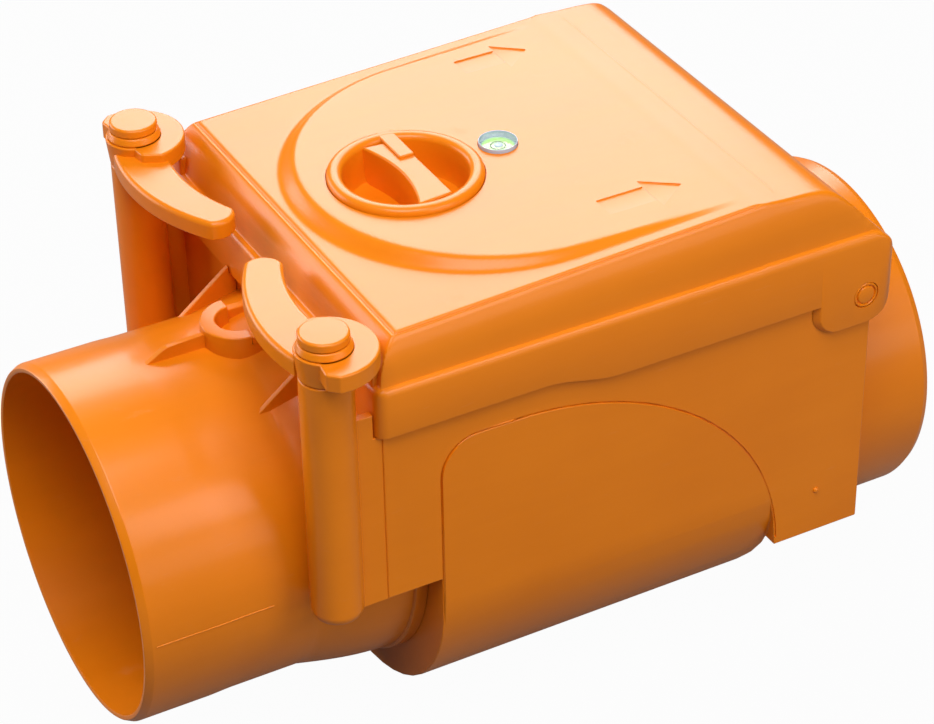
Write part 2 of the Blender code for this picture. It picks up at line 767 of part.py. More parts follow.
def seat_screws(material):
    """Screws that hold the seat to its wall."""
    for i, (y, z) in enumerate(seat_screw_places()):
        head = FLANGE_X + SEAT_FLANGE + GAP
        tip = SEAT_X - SCREW_GRIP
        profile = [(tip, 0.0), (tip, SCREW_RADIUS), (head, SCREW_RADIUS), (head, SCREW_HEAD_RADIUS)]
        profile.append((head + SCREW_HEAD / 2, SCREW_HEAD_RADIUS))
        profile += [(head + SCREW_HEAD, SCREW_HEAD_RADIUS / 2), (head + SCREW_HEAD, 0.0)]
        finish(turned("screw", profile, "X", (0, y, z), PIN_SIDES), f"seat_screw_{i + 1}", material)


def flap(material):
    """Disc with a rim, ribs, two arms, a hinge knuckle and a locking horn."""
    back = PLATE_X + FLAP_PLATE
    rib_top = back + FLAP_RIB
    rim = FLAP_RADIUS - FLAP_RIB_THICKNESS
    inner = FLAP_RADIUS / 2
    outer = inner + FLAP_RIB_THICKNESS
    profile = [(PLATE_X, 0.0), (PLATE_X, FLAP_RADIUS), (rib_top, FLAP_RADIUS), (rib_top, rim)]
    profile += [(back, rim), (back, outer), (rib_top, outer), (rib_top, inner)]
    profile += [(back, inner), (back, 0.0)]
    body = turned("plate", profile, "X", (0, 0, AXIS_Z), PIPE_SIDES)
    half = FLAP_RIB_THICKNESS / 2
    reach = rim + half
    rib_end = rib_top - GAP
    add(body, box("rib", (back - GAP, -reach, AXIS_Z - half), (rib_end, reach, AXIS_Z + half)))
    for side in (-1, 1):
        edge = FLAP_KNUCKLE_LENGTH / 2 - GAP
        faces = sorted((side * edge, side * (edge - FLAP_ARM_WIDTH)))
        low = (PLATE_X + GAP, faces[0], AXIS_Z + half)
        add(body, box("arm", low, (rib_top + GAP, faces[1], FLAP_HINGE.z)))
    half_length = FLAP_KNUCKLE_LENGTH / 2
    ends = (-half_length, half_length)
    hinge = (FLAP_HINGE.x, 0, FLAP_HINGE.z)
    add(body, rod("knuckle", "Y", hinge, FLAP_KNUCKLE, *ends, ROD_SIDES))
    horn_back = FLAP_HINGE.x + HORN_THICKNESS / 2
    horn_front = FLAP_HINGE.x - HORN_THICKNESS / 2
    side = HORN_WIDTH / 2
    top = FLAP_HINGE.z + HORN_HEIGHT
    outline = rounded_rectangle(horn_front, horn_back, FLAP_HINGE.z, top, HORN_THICKNESS / 4)
    add(body, prism("horn", outline, "Y", -side, side))
    cut(body, rod("pin", "Y", hinge, FLAP_PIN + GAP, ends[0] - GAP, ends[1] + GAP, PIN_SIDES))
    return finish(body, "flap", material, origin=hinge)


def flap_seal(material, parent):
    """Rubber ring on the flap's face."""
    centre = (0, 0, AXIS_Z)
    inner = SEAT_BORE + RUN
    outer = SEAT_BORE + SEAT_LIP_WIDTH - RUN
    body = ring("seal", "X", centre, inner, outer, SEAL_X, SEAL_X + FLAP_SEAL, PIPE_SIDES)
    return finish(body, "flap_seal", material, origin=FLAP_HINGE, parent=parent)


def flap_pin(steel):
    """Pin through the seat's lugs and the flap's knuckle, with two clips."""
    lug_end = FLAP_KNUCKLE_LENGTH / 2 + RUN + FLAP_LUG
    reach = lug_end + GAP + 2 * CLIP_THICKNESS
    hinge = (FLAP_HINGE.x, 0, FLAP_HINGE.z)
    finish(rod("pin", "Y", hinge, FLAP_PIN, -reach, reach, PIN_SIDES), "flap_hinge_pin", steel)
    for side, word in ((-1, "near"), (1, "far")):
        ends = sorted((side * (lug_end + GAP), side * (lug_end + GAP + CLIP_THICKNESS)))
        clip = ring("clip", "Y", hinge, FLAP_PIN + GAP, CLIP_RADIUS, *ends, PIN_SIDES)
        finish(clip, f"flap_pin_clip_{word}", steel)


def lid_edge():
    """Side outline of what is trimmed off under the skirt's lower edge.

    The edge steps down half way along and up again behind the hinge ears.
    """
    front = LID_X - LID_SKIRT
    rear = LID_END_X + LID_SKIRT
    ear_x = LID_HINGE.x - EAR_RADIUS
    below = TOP_Z - LID_EDGE_LOWER_DROP - 2 * LID_SKIRT
    rear_edge = TOP_Z - LID_REAR_EDGE_DROP
    outline = [(rear, below), (rear, rear_edge), (ear_x, rear_edge)]
    outline.append((ear_x, TOP_Z - LID_EDGE_LOWER_DROP))
    start = FRONT_X + LID_EDGE_STEP_AT
    for i in range(BEND_STEPS, -1, -1):
        share = i / BEND_STEPS
        smooth = share * share * (3 - 2 * share)
        drop = LID_EDGE_DROP + (LID_EDGE_LOWER_DROP - LID_EDGE_DROP) * smooth
        outline.append((start + LID_EDGE_STEP_LENGTH * share, TOP_Z - drop))
    outline += [(front, TOP_Z - LID_EDGE_DROP), (front, below)]
    return outline


def lid_loop(side, front, rear, radius, height):
    """One ring of the lid: a rounded rectangle whose height follows a rule."""
    outline = []
    corners = [(front, side, 90), (front, -side, 180), (rear, -side, 270), (rear, side, 0)]
    for i, (x, y, start) in enumerate(corners):
        centre_x = x + radius if x == front else x - radius
        centre_y = y - radius if y > 0 else y + radius
        outline += arc(centre_x, centre_y, radius, start, start + 90, CORNER_STEPS)
        if i % 2 == 1:
            first = Vector(outline[-1])
            last_x = rear - radius if i == 1 else front + radius
            last = Vector((last_x, y))
            for step in range(1, EDGE_STATIONS):
                outline.append(tuple(first.lerp(last, step / EDGE_STATIONS)))
    return [(x, y, height(x)) for x, y in outline]


def steady(level):
    """A height that is the same everywhere."""
    return lambda x: level


def falling(level, rear_level, rear_x, power):
    """A height that keeps one level and then falls towards the rear."""
    def height(x):
        base = level(x)
        if x <= BREAK_X:
            return base
        share = (x - BREAK_X) / (rear_x - BREAK_X)
        return base + (rear_level - base) * share ** power
    return height


def lid_form():
    """Outer skin of the lid: skirt, ridge, shoulder and sloping top."""
    ridge = TOP_Z + LID_RIDGE_RISE
    rise = LID_TOP - LID_RIDGE_RISE
    below = TOP_Z - LID_EDGE_LOWER_DROP - LID_SKIRT
    loops = [lid_loop(LID_SIDE, LID_X, LID_END_X, LID_CORNER, steady(below))]
    for side_in, front_in, rear_in, share, rear_rise, power in LID_RINGS:
        rear = LID_END_X - rear_in
        height = falling(steady(ridge + share * rise), TOP_Z + rear_rise, rear, power)
        loops.append(lid_loop(LID_SIDE - side_in, LID_X + front_in, rear, LID_CORNER, height))
    side_in, front_in, rear_in, rear_rise, power = LID_TOP_RING
    rear = LID_END_X - rear_in
    top = falling(lid_top, TOP_Z + rear_rise, rear, power)
    loops.append(lid_loop(LID_SIDE - side_in, LID_X + front_in, rear, LID_CORNER, top))
    side_in, front_in = LID_FLAT_RING
    loops.append(lid_loop(LID_SIDE - side_in, LID_X + front_in, BREAK_X, LID_CORNER, lid_top))
    bm = bmesh.new()
    skin_loops(bm, loops)
    body = solid("lid", bm)
    return cut(body, prism("trim", lid_edge(), "Y", -2 * SIDE, 2 * SIDE))


def lid_hollow():
    """Room under the lid's top, inside the gasket."""
    side = SIDE - WALL - LID_SHELL / 4
    front = FRONT_X + WALL + LID_SHELL / 4
    rear = REAR_X - 2 * WALL
    heights = (LID_LEDGE - GAP, LID_LEDGE + ROOM_STEP, LID_TOP - 2 * LID_SHELL)

    def ceiling(x):
        return lid_top(x) - LID_SHELL
    loops = []
    for (side_in, front_in, walls), rise in zip(ROOM_RINGS, heights):
        level = steady(TOP_Z + rise)
        end = rear - walls * WALL
        loops.append(lid_loop(side - side_in, front + front_in, end, LID_CORNER, level))
    side_in, front_in = ROOM_TOP_RING
    loops.append(lid_loop(side - side_in, front + front_in, BREAK_X, LID_CORNER, ceiling))
    bm = bmesh.new()
    skin_loops(bm, loops)
    return solid("hollow", bm)


def ear(side):
    """Hinge ear that hangs outside the housing's side wall."""
    start = LID_END_X - EAR_LENGTH
    low = LID_HINGE.z - EAR_RADIUS
    top = TOP_Z - LID_REAR_ROOM_DROP
    outline = [(start, top)]
    outline += arc(start + EAR_CORNER, low + EAR_CORNER, EAR_CORNER, 180, 270, BEND_STEPS)
    outline += arc(LID_HINGE.x, LID_HINGE.z, EAR_RADIUS, 270, 360, BEND_STEPS)
    outline.append((LID_HINGE.x + EAR_RADIUS, top))
    faces = sorted((side * (SIDE + RUN), side * (SIDE + RUN + EAR_THICKNESS)))
    return prism("ear", outline, "Y", *faces)


def catch(side):
    """Lug on the lid that the latch's sector rides over."""
    edge = SIDE + RUN + LID_SKIRT / 2
    faces = sorted((side * edge, side * (edge - CATCH_WIDTH)))
    low = (LID_X, faces[0], TOP_Z + LID_RIDGE_RISE)
    top = SECTOR_Z - 2 * GAP
    return box("catch", low, (LID_X + CATCH_DEPTH, faces[1], top))


def platform():
    """Raised D-shaped field on the lid's top, round in front and flat behind."""
    def outline(radius, lift):
        points = arc(PLATFORM_X, 0.0, radius, 90, 270, FIELD_STEPS)
        end = BREAK_X - PLATFORM_END
        points = points + [(end, -radius), (end, radius)]
        return [(x, y, lid_top(x) + lift) for x, y in points]
    bm = bmesh.new()
    inner = PLATFORM_RADIUS - PLATFORM_SLOPE
    foot = [outline(PLATFORM_RADIUS, -LID_SHELL / 2), outline(PLATFORM_RADIUS, GAP)]
    skin_loops(bm, foot + [outline(inner, PLATFORM_RISE)])
    return solid("platform", bm)


def lid(material):
    """Moulded lid: shell, skirt, hinge ears, catches, knob well and level pocket."""
    body = lid_form()
    add(body, platform())
    room_top = TOP_Z + LID_LEDGE
    skirt_inner = SIDE + RUN
    corner = LID_CORNER / 4
    front = FRONT_X - SWING
    rear = REAR_X + SWING
    outline = rounded_rectangle(front, rear, -skirt_inner, skirt_inner, corner)
    cut(body, prism("skirt room", outline, "Z", 0.0, room_top))
    low = (REAR_X, -skirt_inner, 0.0)
    high = (LID_END_X - LID_REAR_WALL, skirt_inner, TOP_Z - LID_REAR_ROOM_DROP)
    cut(body, box("rear room", low, high))
    cut(body, lid_hollow())
    for side in (-1, 1):
        add(body, ear(side), catch(side))
    well = KNOB_CUP_RADIUS + RUN
    centre = (KNOB_X, 0, 0)
    low = WELL_Z - WELL_FLOOR
    outer = well + WELL_WALL
    above = BOLT_Z + BOLT_HEAD
    top = lid_top(KNOB_X - KNOB_RADIUS) - GAP
    add(body, rod("well", "Z", centre, outer, low, top, DISC_SIDES))
    cut(body, rod("well", "Z", centre, well, WELL_Z, above, DISC_SIDES))
    cut(body, rod("hole", "Z", centre, SPINDLE_RADIUS + GAP, low - GAP, WELL_Z + GAP, ROD_SIDES))
    groove = SPINDLE_RADIUS + O_RING_WIDTH + 2 * GAP
    groove_z = WELL_Z - O_RING_WIDTH / 2 - GAP
    cut(body, rod("groove", "Z", centre, groove, groove_z, WELL_Z + GAP, ROD_SIDES))
    cut(body, rod("knob seat", "Z", centre, KNOB_RADIUS + RUN, KNOB_SEAT_Z, above, DISC_SIDES))
    level = (LEVEL_X, LEVEL_OFFSET, 0)
    pocket = LEVEL_RADIUS + GAP
    outer = pocket + WELL_WALL
    low = LEVEL_Z - LEVEL_DEPTH - GAP
    top = lid_top(LEVEL_X) - GAP
    add(body, rod("boss", "Z", level, outer, low - LID_SHELL, top, ROD_SIDES))
    cut(body, rod("pocket", "Z", level, pocket, low, above, ROD_SIDES))
    for side in (-1, 1):
        ends = sorted((side * SIDE, side * (SIDE + 2 * EAR_THICKNESS)))
        cut(body, rod("pin", "Y", (LID_HINGE.x, 0, LID_HINGE.z), HINGE_PIN + GAP, *ends, ROD_SIDES))
    return finish(body, "lid", material, origin=LID_HINGE)


def lid_gasket(material):
    """Rubber frame on top of the housing's wall."""
    outer_side = SIDE - RUN
    inner_side = outer_side - LID_GASKET_WIDTH
    front = FRONT_X + RUN
    rear = REAR_X - 5 * RUN
    low = TOP_Z + GAP
    outline = rounded_rectangle(front, rear, -outer_side, outer_side, LID_CORNER / 2)
    body = prism("gasket", outline, "Z", low, low + LID_GASKET)
    width = LID_GASKET_WIDTH
    inner = rounded_rectangle(front + width, rear - width, -inner_side, inner_side, LID_CORNER / 4)
    cut(body, prism("inside", inner, "Z", low - GAP, low + LID_GASKET + GAP))
    return finish(body, "lid_gasket", material)


def hinge_pins(material):
    """Two short pins that carry the lid's ears."""
    for side, word in ((-1, "near"), (1, "far")):
        inner = SIDE - WALL - HINGE_PIN_SEAT + WALL / 2 + GAP
        outer = SIDE + RUN + EAR_THICKNESS
        ends = sorted((side * inner, side * outer))
        pin = rod("pin", "Y", (LID_HINGE.x, 0, LID_HINGE.z), HINGE_PIN, *ends, ROD_SIDES)
        finish(pin, f"hinge_pin_{word}", material)


def bowed(start, end, bow, steps):
    """Points on the arc from start to end that swells to its left by the bow."""
    start, end = Vector(start), Vector(end)
    half = (end - start).length / 2
    along = (end - start).normalized()
    left = Vector((-along.y, along.x)) * math.copysign(1.0, bow)
    depth = abs(bow)
    radius = (half * half + depth * depth) / (2 * depth)
    centre = (start + end) / 2 - left * (radius - depth)
    spread = math.atan2(half, radius - depth)
    points = []
    for i in range(steps + 1):
        angle = spread * (2 * i / steps - 1)
        points.append(tuple(centre + radius * (along * math.sin(angle) + left * math.cos(angle))))
    return points


def arm_outline():
    """Crescent arm of the near latch, from the hub out along +Y, hollow to the lid."""
    foot_out = (-LATCH_HUB, LATCH_HUB / 3)
    foot_in = (LATCH_HUB * 4 / 5, LATCH_HUB * 3 / 5)
    tip_out = (LATCH_TIP_OFFSET, ARM_REACH)
    tip_in = (LATCH_TIP_OFFSET + LATCH_TIP_WIDTH, ARM_REACH - LATCH_TIP_SLANT)
    outline = bowed(foot_out, tip_out, LATCH_ARM_BOW, BOW_STEPS)
    outline += bowed(tip_out, tip_in, LATCH_TIP_WIDTH / 3, BEND_STEPS)[1:]
    outline += bowed(tip_in, foot_in, -LATCH_ARM_BOW, BOW_STEPS)[1:]
    return outline[::-1]


def latch_lever(side, name, material):
    """Swing latch: hub, arm for the hand and half-disc sector over the lid."""
    hub = rod("hub", "Z", (0, 0, 0), LATCH_HUB, ARM_Z, SECTOR_TOP_Z - GAP, DISC_SIDES)
    arm = prism("arm", arm_outline(), "Z", ARM_Z, ARM_Z + LATCH_ARM_HEIGHT)
    sector_outline = arc(0, 0, LATCH_SECTOR, LATCH_START, LATCH_START + 180, SECTOR_STEPS)
    shoulder = LATCH_SECTOR * 4 / 5
    sector_outline.append((-LATCH_FLAT_OFFSET, shoulder))
    sector_outline.append((-2 * LATCH_FLAT_OFFSET, -shoulder))
    sector = prism("sector", sector_outline, "Z", SECTOR_Z, SECTOR_TOP_Z)
    body = add(hub, sector, arm)
    hole = BOLT_SHANK + GAP
    cut(body, rod("bore", "Z", (0, 0, 0), hole, ARM_Z - GAP, BOLT_Z, ROD_SIDES))
    if side > 0:
        mirrored = mirror_y(body, "lever")
        bpy.data.objects.remove(body)
        body = mirrored
    place = (POST_X, side * POST_Y, 0.0)
    body.data.transform(Matrix.Translation(place))
    return finish(body, name, material, origin=(place[0], place[1], ARM_Z))


def latch_hardware(side, word, material):
    """Washer and capped bolt that hold a latch on its post."""
    centre = (POST_X, side * POST_Y, 0)
    inner = BOLT_SHANK + GAP
    washer = ring("washer", "Z", centre, inner, WASHER_RADIUS, WASHER_Z, WASHER_Z + WASHER, DISC_SIDES)
    finish(washer, f"latch_washer_{word}", material)
    tip = POST_TOP_Z - BOLT_DEPTH
    soft = BOLT_HEAD / 4
    profile = [(tip, 0.0), (tip, BOLT_SHANK), (BOLT_Z, BOLT_SHANK), (BOLT_Z, BOLT_HEAD_RADIUS)]
    profile += [(BOLT_Z + BOLT_HEAD - soft, BOLT_HEAD_RADIUS)]
    profile += [(BOLT_Z + BOLT_HEAD, BOLT_HEAD_RADIUS - soft), (BOLT_Z + BOLT_HEAD, 0.0)]
    finish(turned("bolt", profile, "Z", centre, DISC_SIDES), f"latch_bolt_{word}", material)


def lock_knob(material, parent):
    """Knob with a raised rim and a grip bar between two finger pockets."""
    centre = (KNOB_X, 0, 0)
    low = KNOB_Z - KNOB_DEPTH
    rim_in = KNOB_RADIUS - KNOB_RIM_WIDTH
    pocket = rim_in - KNOB_RIM_WIDTH / 4
    top = KNOB_Z + KNOB_RIM
    soft = KNOB_RIM / 3
    profile = [
        (low, 0.0),
        (low, KNOB_CUP_RADIUS),
        (KNOB_Z, KNOB_CUP_RADIUS),
        (KNOB_Z, KNOB_RADIUS),
        (top - soft, KNOB_RADIUS),
        (top, KNOB_RADIUS - soft),
        (top, rim_in),
        (KNOB_Z, pocket - KNOB_RIM_WIDTH / 4),
        (low + KNOB_FLOOR, pocket - KNOB_RIM_WIDTH / 2),
        (low + KNOB_FLOOR, 0.0),
    ]
    body = turned("knob", profile, "Z", centre, DISC_SIDES)
    half = KNOB_BAR_WIDTH / 2
    flare = KNOB_BAR_FLARE / 2
    reach = KNOB_CUP_RADIUS
    bar = [(-reach, -flare), (-reach / 3, -half), (reach / 3, -half), (reach, -flare)]
    bar += [(reach, flare), (reach / 3, half), (-reach / 3, half), (-reach, flare)]
    turn = math.radians(KNOB_BAR_ANGLE)
    outline = []
    for a, b in bar:
        x = KNOB_X + a * math.cos(turn) - b * math.sin(turn)
        outline.append((x, a * math.sin(turn) + b * math.cos(turn)))
    grip = prism("bar", outline, "Z", low + GAP, top - soft)
    room = KNOB_CUP_RADIUS - KNOB_RIM_WIDTH / 6
    combine(grip, rod("room", "Z", centre, room, low, top, DISC_SIDES), "INTERSECT")
    add(body, grip)
    depth = low + KNOB_DEPTH / 2
    cut(body, rod("socket", "Z", centre, SPINDLE_RADIUS + GAP, low - GAP, depth, ROD_SIDES))
    return finish(body, "lock_knob", material, origin=(KNOB_X, 0, KNOB_Z), parent=parent)


def lock_train(plastic, rubber, steel, parent):
    """Spindle, O-ring, cam and screw that turn with the knob under the lid."""
    centre = (KNOB_X, 0, 0)
    floor_low = WELL_Z - WELL_FLOOR
    hub_top = floor_low - RUN
    spindle_top = KNOB_Z - KNOB_DEPTH / 2 - GAP
    foot = CAM_Z - CAM_ARM / 2
    origin = (KNOB_X, 0, KNOB_Z)
    spindle = rod("spindle", "Z", centre, SPINDLE_RADIUS, foot, spindle_top, ROD_SIDES)
    screw_hole = foot + CAM_SCREW_GRIP + GAP
    cut(spindle, rod("hole", "Z", centre, CAM_SCREW_SHANK + GAP, foot - GAP, screw_hole, SCREW_SIDES))
    finish(spindle, "lock_spindle", plastic, origin=origin, parent=parent)
    hub = rod("hub", "Z", centre, CAM_HUB, foot, hub_top, ROD_SIDES)
    half = CAM_ARM_WIDTH / 2
    inner = CAM_ARM_REACH - CAM_LIP
    arm = box("arm", (KNOB_X - half, 0.0, CAM_Z), (KNOB_X + half, CAM_ARM_REACH, CAM_Z + CAM_ARM))
    low = (KNOB_X - half, inner, CAM_Z - CAM_LIP_DROP)
    lip = box("lip", low, (KNOB_X + half, CAM_ARM_REACH, CAM_Z + CAM_ARM))
    cam = add(hub, arm, lip)
    cut(cam, rod("bore", "Z", centre, SPINDLE_RADIUS + GAP, foot - GAP, hub_top + GAP, ROD_SIDES))
    finish(cam, "lock_cam", plastic, origin=origin, parent=parent)
    inner = SPINDLE_RADIUS + GAP
    outer = inner + O_RING_WIDTH
    ring_low = WELL_Z - O_RING_WIDTH / 2
    o_ring = ring("ring", "Z", centre, inner, outer, ring_low, WELL_Z, ROD_SIDES)
    finish(o_ring, "knob_o_ring", rubber, origin=origin, parent=parent)
    top = foot - GAP
    profile = [(top - CAM_SCREW, 0.0), (top - CAM_SCREW, CAM_SCREW_RADIUS), (top, CAM_SCREW_RADIUS)]
    profile += [(top, CAM_SCREW_SHANK), (foot + CAM_SCREW_GRIP, CAM_SCREW_SHANK)]
    profile.append((foot + CAM_SCREW_GRIP, 0.0))
    screw = turned("screw", profile, "Z", centre, PIN_SIDES)
    finish(screw, "cam_screw", steel, origin=origin, parent=parent)


def bubble_level(white, green, clear, parent):
    """Round bubble level let into the lid: cup, liquid and lens."""
    centre = (LEVEL_X, LEVEL_OFFSET, 0)
    low = LEVEL_Z - LEVEL_DEPTH
    inner = LEVEL_RADIUS - LEVEL_WALL
    floor = low + LEVEL_FLOOR
    profile = [(low, 0.0), (low, LEVEL_RADIUS), (LEVEL_Z, LEVEL_RADIUS), (LEVEL_Z, inner)]
    profile += [(floor, inner), (floor, 0.0)]
    cup = turned("cup", profile, "Z", centre, DISC_SIDES)
    finish(cup, "level_cup", white, origin=LID_HINGE, parent=parent)
    lens_low = LEVEL_Z - LEVEL_PROUD - LEVEL_LENS
    radius = inner - GAP
    vial = rod("vial", "Z", centre, radius, floor + GAP, lens_low - GAP, DISC_SIDES)
    finish(vial, "level_vial", green, origin=LID_HINGE, parent=parent)
    lens = rod("lens", "Z", centre, radius, lens_low, LEVEL_Z - LEVEL_PROUD / 2, DISC_SIDES)
    finish(lens, "level_lens", clear, origin=LID_HINGE, parent=parent)


def main():
    """Clear the scene and build every piece."""
    for old in list(bpy.data.objects):
        bpy.data.objects.remove(old)
    orange = make_material("orange plastic", ORANGE, 0.35)
    deep = make_material("deep orange plastic", DEEP_ORANGE, 0.4)
    rubber = make_material("black rubber", BLACK_RUBBER, 0.7)
    steel = make_material("stainless steel", STEEL, 0.3, 1.0)
    white = make_material("white plastic", WHITE, 0.35)
    green = make_material("green liquid", LEVEL_GREEN, 0.1)
    clear = make_material("clear lens", CLEAR, 0.05)
    housing(orange)
    latch_posts(orange)
    support_ribs(orange)
    pipe_collar(orange)
    inlet_spigot(orange)
    outlet_spigot(orange)
    seat_ring(deep)
    seat_gasket(rubber)
    seat_screws(steel)
    flap_body = flap(deep)
    flap_seal(rubber, flap_body)
    flap_pin(steel)
    lid_body = lid(orange)
    lid_gasket(rubber)
    hinge_pins(orange)
    for side, word in ((-1, "near"), (1, "far")):
        latch_lever(side, f"latch_lever_{word}", orange)
        latch_hardware(side, word, orange)
    lock_knob(orange, None)
    lock_train(orange, rubber, steel, None)
    bubble_level(white, green, clear, lid_body)


main()
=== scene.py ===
"""Finished look of an orange moulded backwater valve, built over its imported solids.

The lid, the latches, the knob and the pipe ends are modelled again with soft
edges, beads and grooves, and so are the hinge pins and the seat's screws. The
other inner pieces keep their solids and get a finish.
"""

import math

import bmesh
import bpy
from bpy.props import FloatProperty, FloatVectorProperty, PointerProperty
from mathutils import Matrix, Vector


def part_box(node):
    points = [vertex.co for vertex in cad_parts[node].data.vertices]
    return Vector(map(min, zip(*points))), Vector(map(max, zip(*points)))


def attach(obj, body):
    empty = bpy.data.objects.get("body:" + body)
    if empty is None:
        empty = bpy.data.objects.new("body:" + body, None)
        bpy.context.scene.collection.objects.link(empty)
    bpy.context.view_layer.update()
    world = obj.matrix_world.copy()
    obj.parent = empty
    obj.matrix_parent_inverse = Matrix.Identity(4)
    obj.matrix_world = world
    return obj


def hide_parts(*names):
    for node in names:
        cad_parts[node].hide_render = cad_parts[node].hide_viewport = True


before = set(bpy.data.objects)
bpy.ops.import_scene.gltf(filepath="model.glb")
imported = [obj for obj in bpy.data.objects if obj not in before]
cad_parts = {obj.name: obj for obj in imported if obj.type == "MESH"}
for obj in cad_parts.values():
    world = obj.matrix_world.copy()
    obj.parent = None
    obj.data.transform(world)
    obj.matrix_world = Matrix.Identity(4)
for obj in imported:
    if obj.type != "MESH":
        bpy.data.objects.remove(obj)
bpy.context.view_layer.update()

bl_info = {
    "name": "Backwater Valve Looks",
    "version": (1, 0, 0),
    "blender": (4, 5, 0),
    "location": "3D View > Sidebar > Valve",
    "description": "Builds the finished look of a moulded backwater valve",
    "category": "Object",
}

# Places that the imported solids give
LID_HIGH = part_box("lid")[1]
INLET_LOW, INLET_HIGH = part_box("inlet_spigot")
OUTLET_LOW, OUTLET_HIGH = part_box("outlet_spigot")
KNOB_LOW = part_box("lock_knob")[0]
SPINDLE_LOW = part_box("lock_spindle")[0]
CUP_LOW, CUP_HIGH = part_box("level_cup")
LENS_LOW, LENS_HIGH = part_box("level_lens")
POST_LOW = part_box("latch_post_near")[0]
LEVER_LOW, LEVER_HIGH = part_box("latch_lever_near")
WASHER_LOW, WASHER_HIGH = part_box("latch_washer_near")
BOLT_LOW, BOLT_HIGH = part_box("latch_bolt_near")
COLLAR_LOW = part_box("pipe_collar")[0]
PIN_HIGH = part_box("hinge_pin_near")[1]
SCREW_LOW, SCREW_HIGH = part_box("seat_screw_1")

# Camera, from the known size of the pipe end: places in metres, lens and sensor in millimetres
CAMERA_AT = (-0.5126, -0.9669, 0.8852)
CAMERA_ACROSS = Vector((0.8789, -0.4767, -0.0160))
CAMERA_DOWN = Vector((-0.2844, -0.4969, -0.8199))
CAMERA_AHEAD = Vector((0.3829, 0.7252, -0.5723))
CAMERA_LENS = 115.63
CAMERA_SENSOR = 36.0
CAMERA_NEAR = 0.05

# Floor, surroundings and lamps: each lamp's name, place, aim, width, height and power
FLOOR_REACH = 6
FLOOR_DROP = 0.0002
FLOOR_GLOW = 0.97
FLOOR_IN_GLOSS = 0.08
SKY_SEEN = 0.89
SKY_LIGHT = 0.11
SKY_LESS_IN_GLOSS = 0.07
LAMPS = (
    ("overhead", (-0.35, -0.60, 1.58), (0.0, 0.0, 0.15), 1.0, 1.0, 22.0),
    ("behind", (0.74, 1.45, 1.28), (0.0, 0.0, 0.20), 1.2, 1.2, 32.0),
    ("front", (0.60, -1.42, 1.15), (0.0, 0.0, 0.12), 0.7, 0.6, 8.0),
    ("low front", (0.84, -1.72, 0.44), (0.0, 0.0, 0.20), 1.5, 0.5, 4.5),
    ("left", (-1.15, 1.38, 0.52), (0.0, 0.0, 0.20), 1.4, 0.9, 19.0),
)

# Pipe ends
PIPE_RADIUS = 0.080
BORE = 0.076
SLIM = 0.0796
AXIS_Z = 0.094
OUTLET_Z = 0.0805
FLARE_START = INLET_LOW.x + 0.078
FLARE_RISE = 0.006
WELD_RING = 0.087
WELD_RING_WIDTH = 0.006
STEP_AT = INLET_LOW.x + 0.036
STEP_LENGTH = 0.0110
SEAM_WIDTH = 0.0007

# Room between a piece of the finish and what it stands in
ROOM = 0.0003

# Housing
FRONT_X = -0.0934
REAR_X = 0.1426
SIDE = 0.0998
TOP_Z = 0.197
POST = Vector((-0.1138, 0.0932, 0.0))
POST_RADIUS = 0.0112
POST_TOP_Z = 0.2117
WEB_THICKNESS = 0.0034
WEB_TOP_Z = 0.189
PANEL_X = -0.068
PANEL_END_X = 0.0996
PANEL_REACH = 0.134
PANEL_CORNER = 0.018
PANEL_TOP_Z = 0.165
PANEL_LOW_Z = 0.062
PANEL_FOOT_Z = 0.0480
NUB_X = 0.1195
NUB_Z = AXIS_Z - 0.023

# Lid
LID_X = -0.0965
LID_END_X = 0.152
LID_SIDE = 0.1028
LID_CORNER = 0.005
RIDGE_Z = 0.2015
LID_RISE = 0.0248
LID_SLOPE = 0.037
LID_SHELL = 0.0036
HINGE = Vector((0.1375, 0.0, 0.171))
EAR_RADIUS = 0.0145
EAR_START_X = 0.1145
EAR_CORNER = 0.010
PLATFORM_X = 0.0075
PLATFORM_RADIUS = 0.088
PLATFORM_END_X = 0.081
PLATFORM_BANK = 1.45
GROOVE_SIDE = 0.0084
GROOVE_FRONT = 0.0124
GROOVE_END_X = 0.087
PIN_HOLE = 0.0063
CATCH_START = 0.0010
CATCH_END = 0.0075
CATCH_OUT = 0.0965
CATCH_IN = 0.0885

# Flow arrows: place of the middle, length and width
NEAR_ARROW = (0.048, -0.064, 0.038, 0.022)
FAR_ARROW = (0.0505, 0.069, 0.034, 0.022)

# Knob and level
KNOB_X = -0.0295
KNOB_Z = 0.22627
KNOB_RADIUS = 0.0336
KNOB_CUP = 0.0275
KNOB_SEAT = 0.0340
GRIP_REACH = 0.0262
GRIP_STRAIGHT = 0.0094
SPINDLE_HOLE = 0.0053
RING_GROOVE = 0.0076
LEVEL = Vector((0.0165, 0.003, 0.0))
LEVEL_RADIUS = 0.0085
LEVEL_POCKET = 0.0088
LEVEL_BOSS = 0.0118

# Latches
ARM_REACH = 0.0765
ARM_HEIGHT = 0.0085
SECTOR_RADIUS = 0.0218
CAP_RADIUS = 0.0104

# Seat screws: the seed of their chance turn and the most that it can be
SPIN_SEED = 7
FULL_TURN = 6.2832

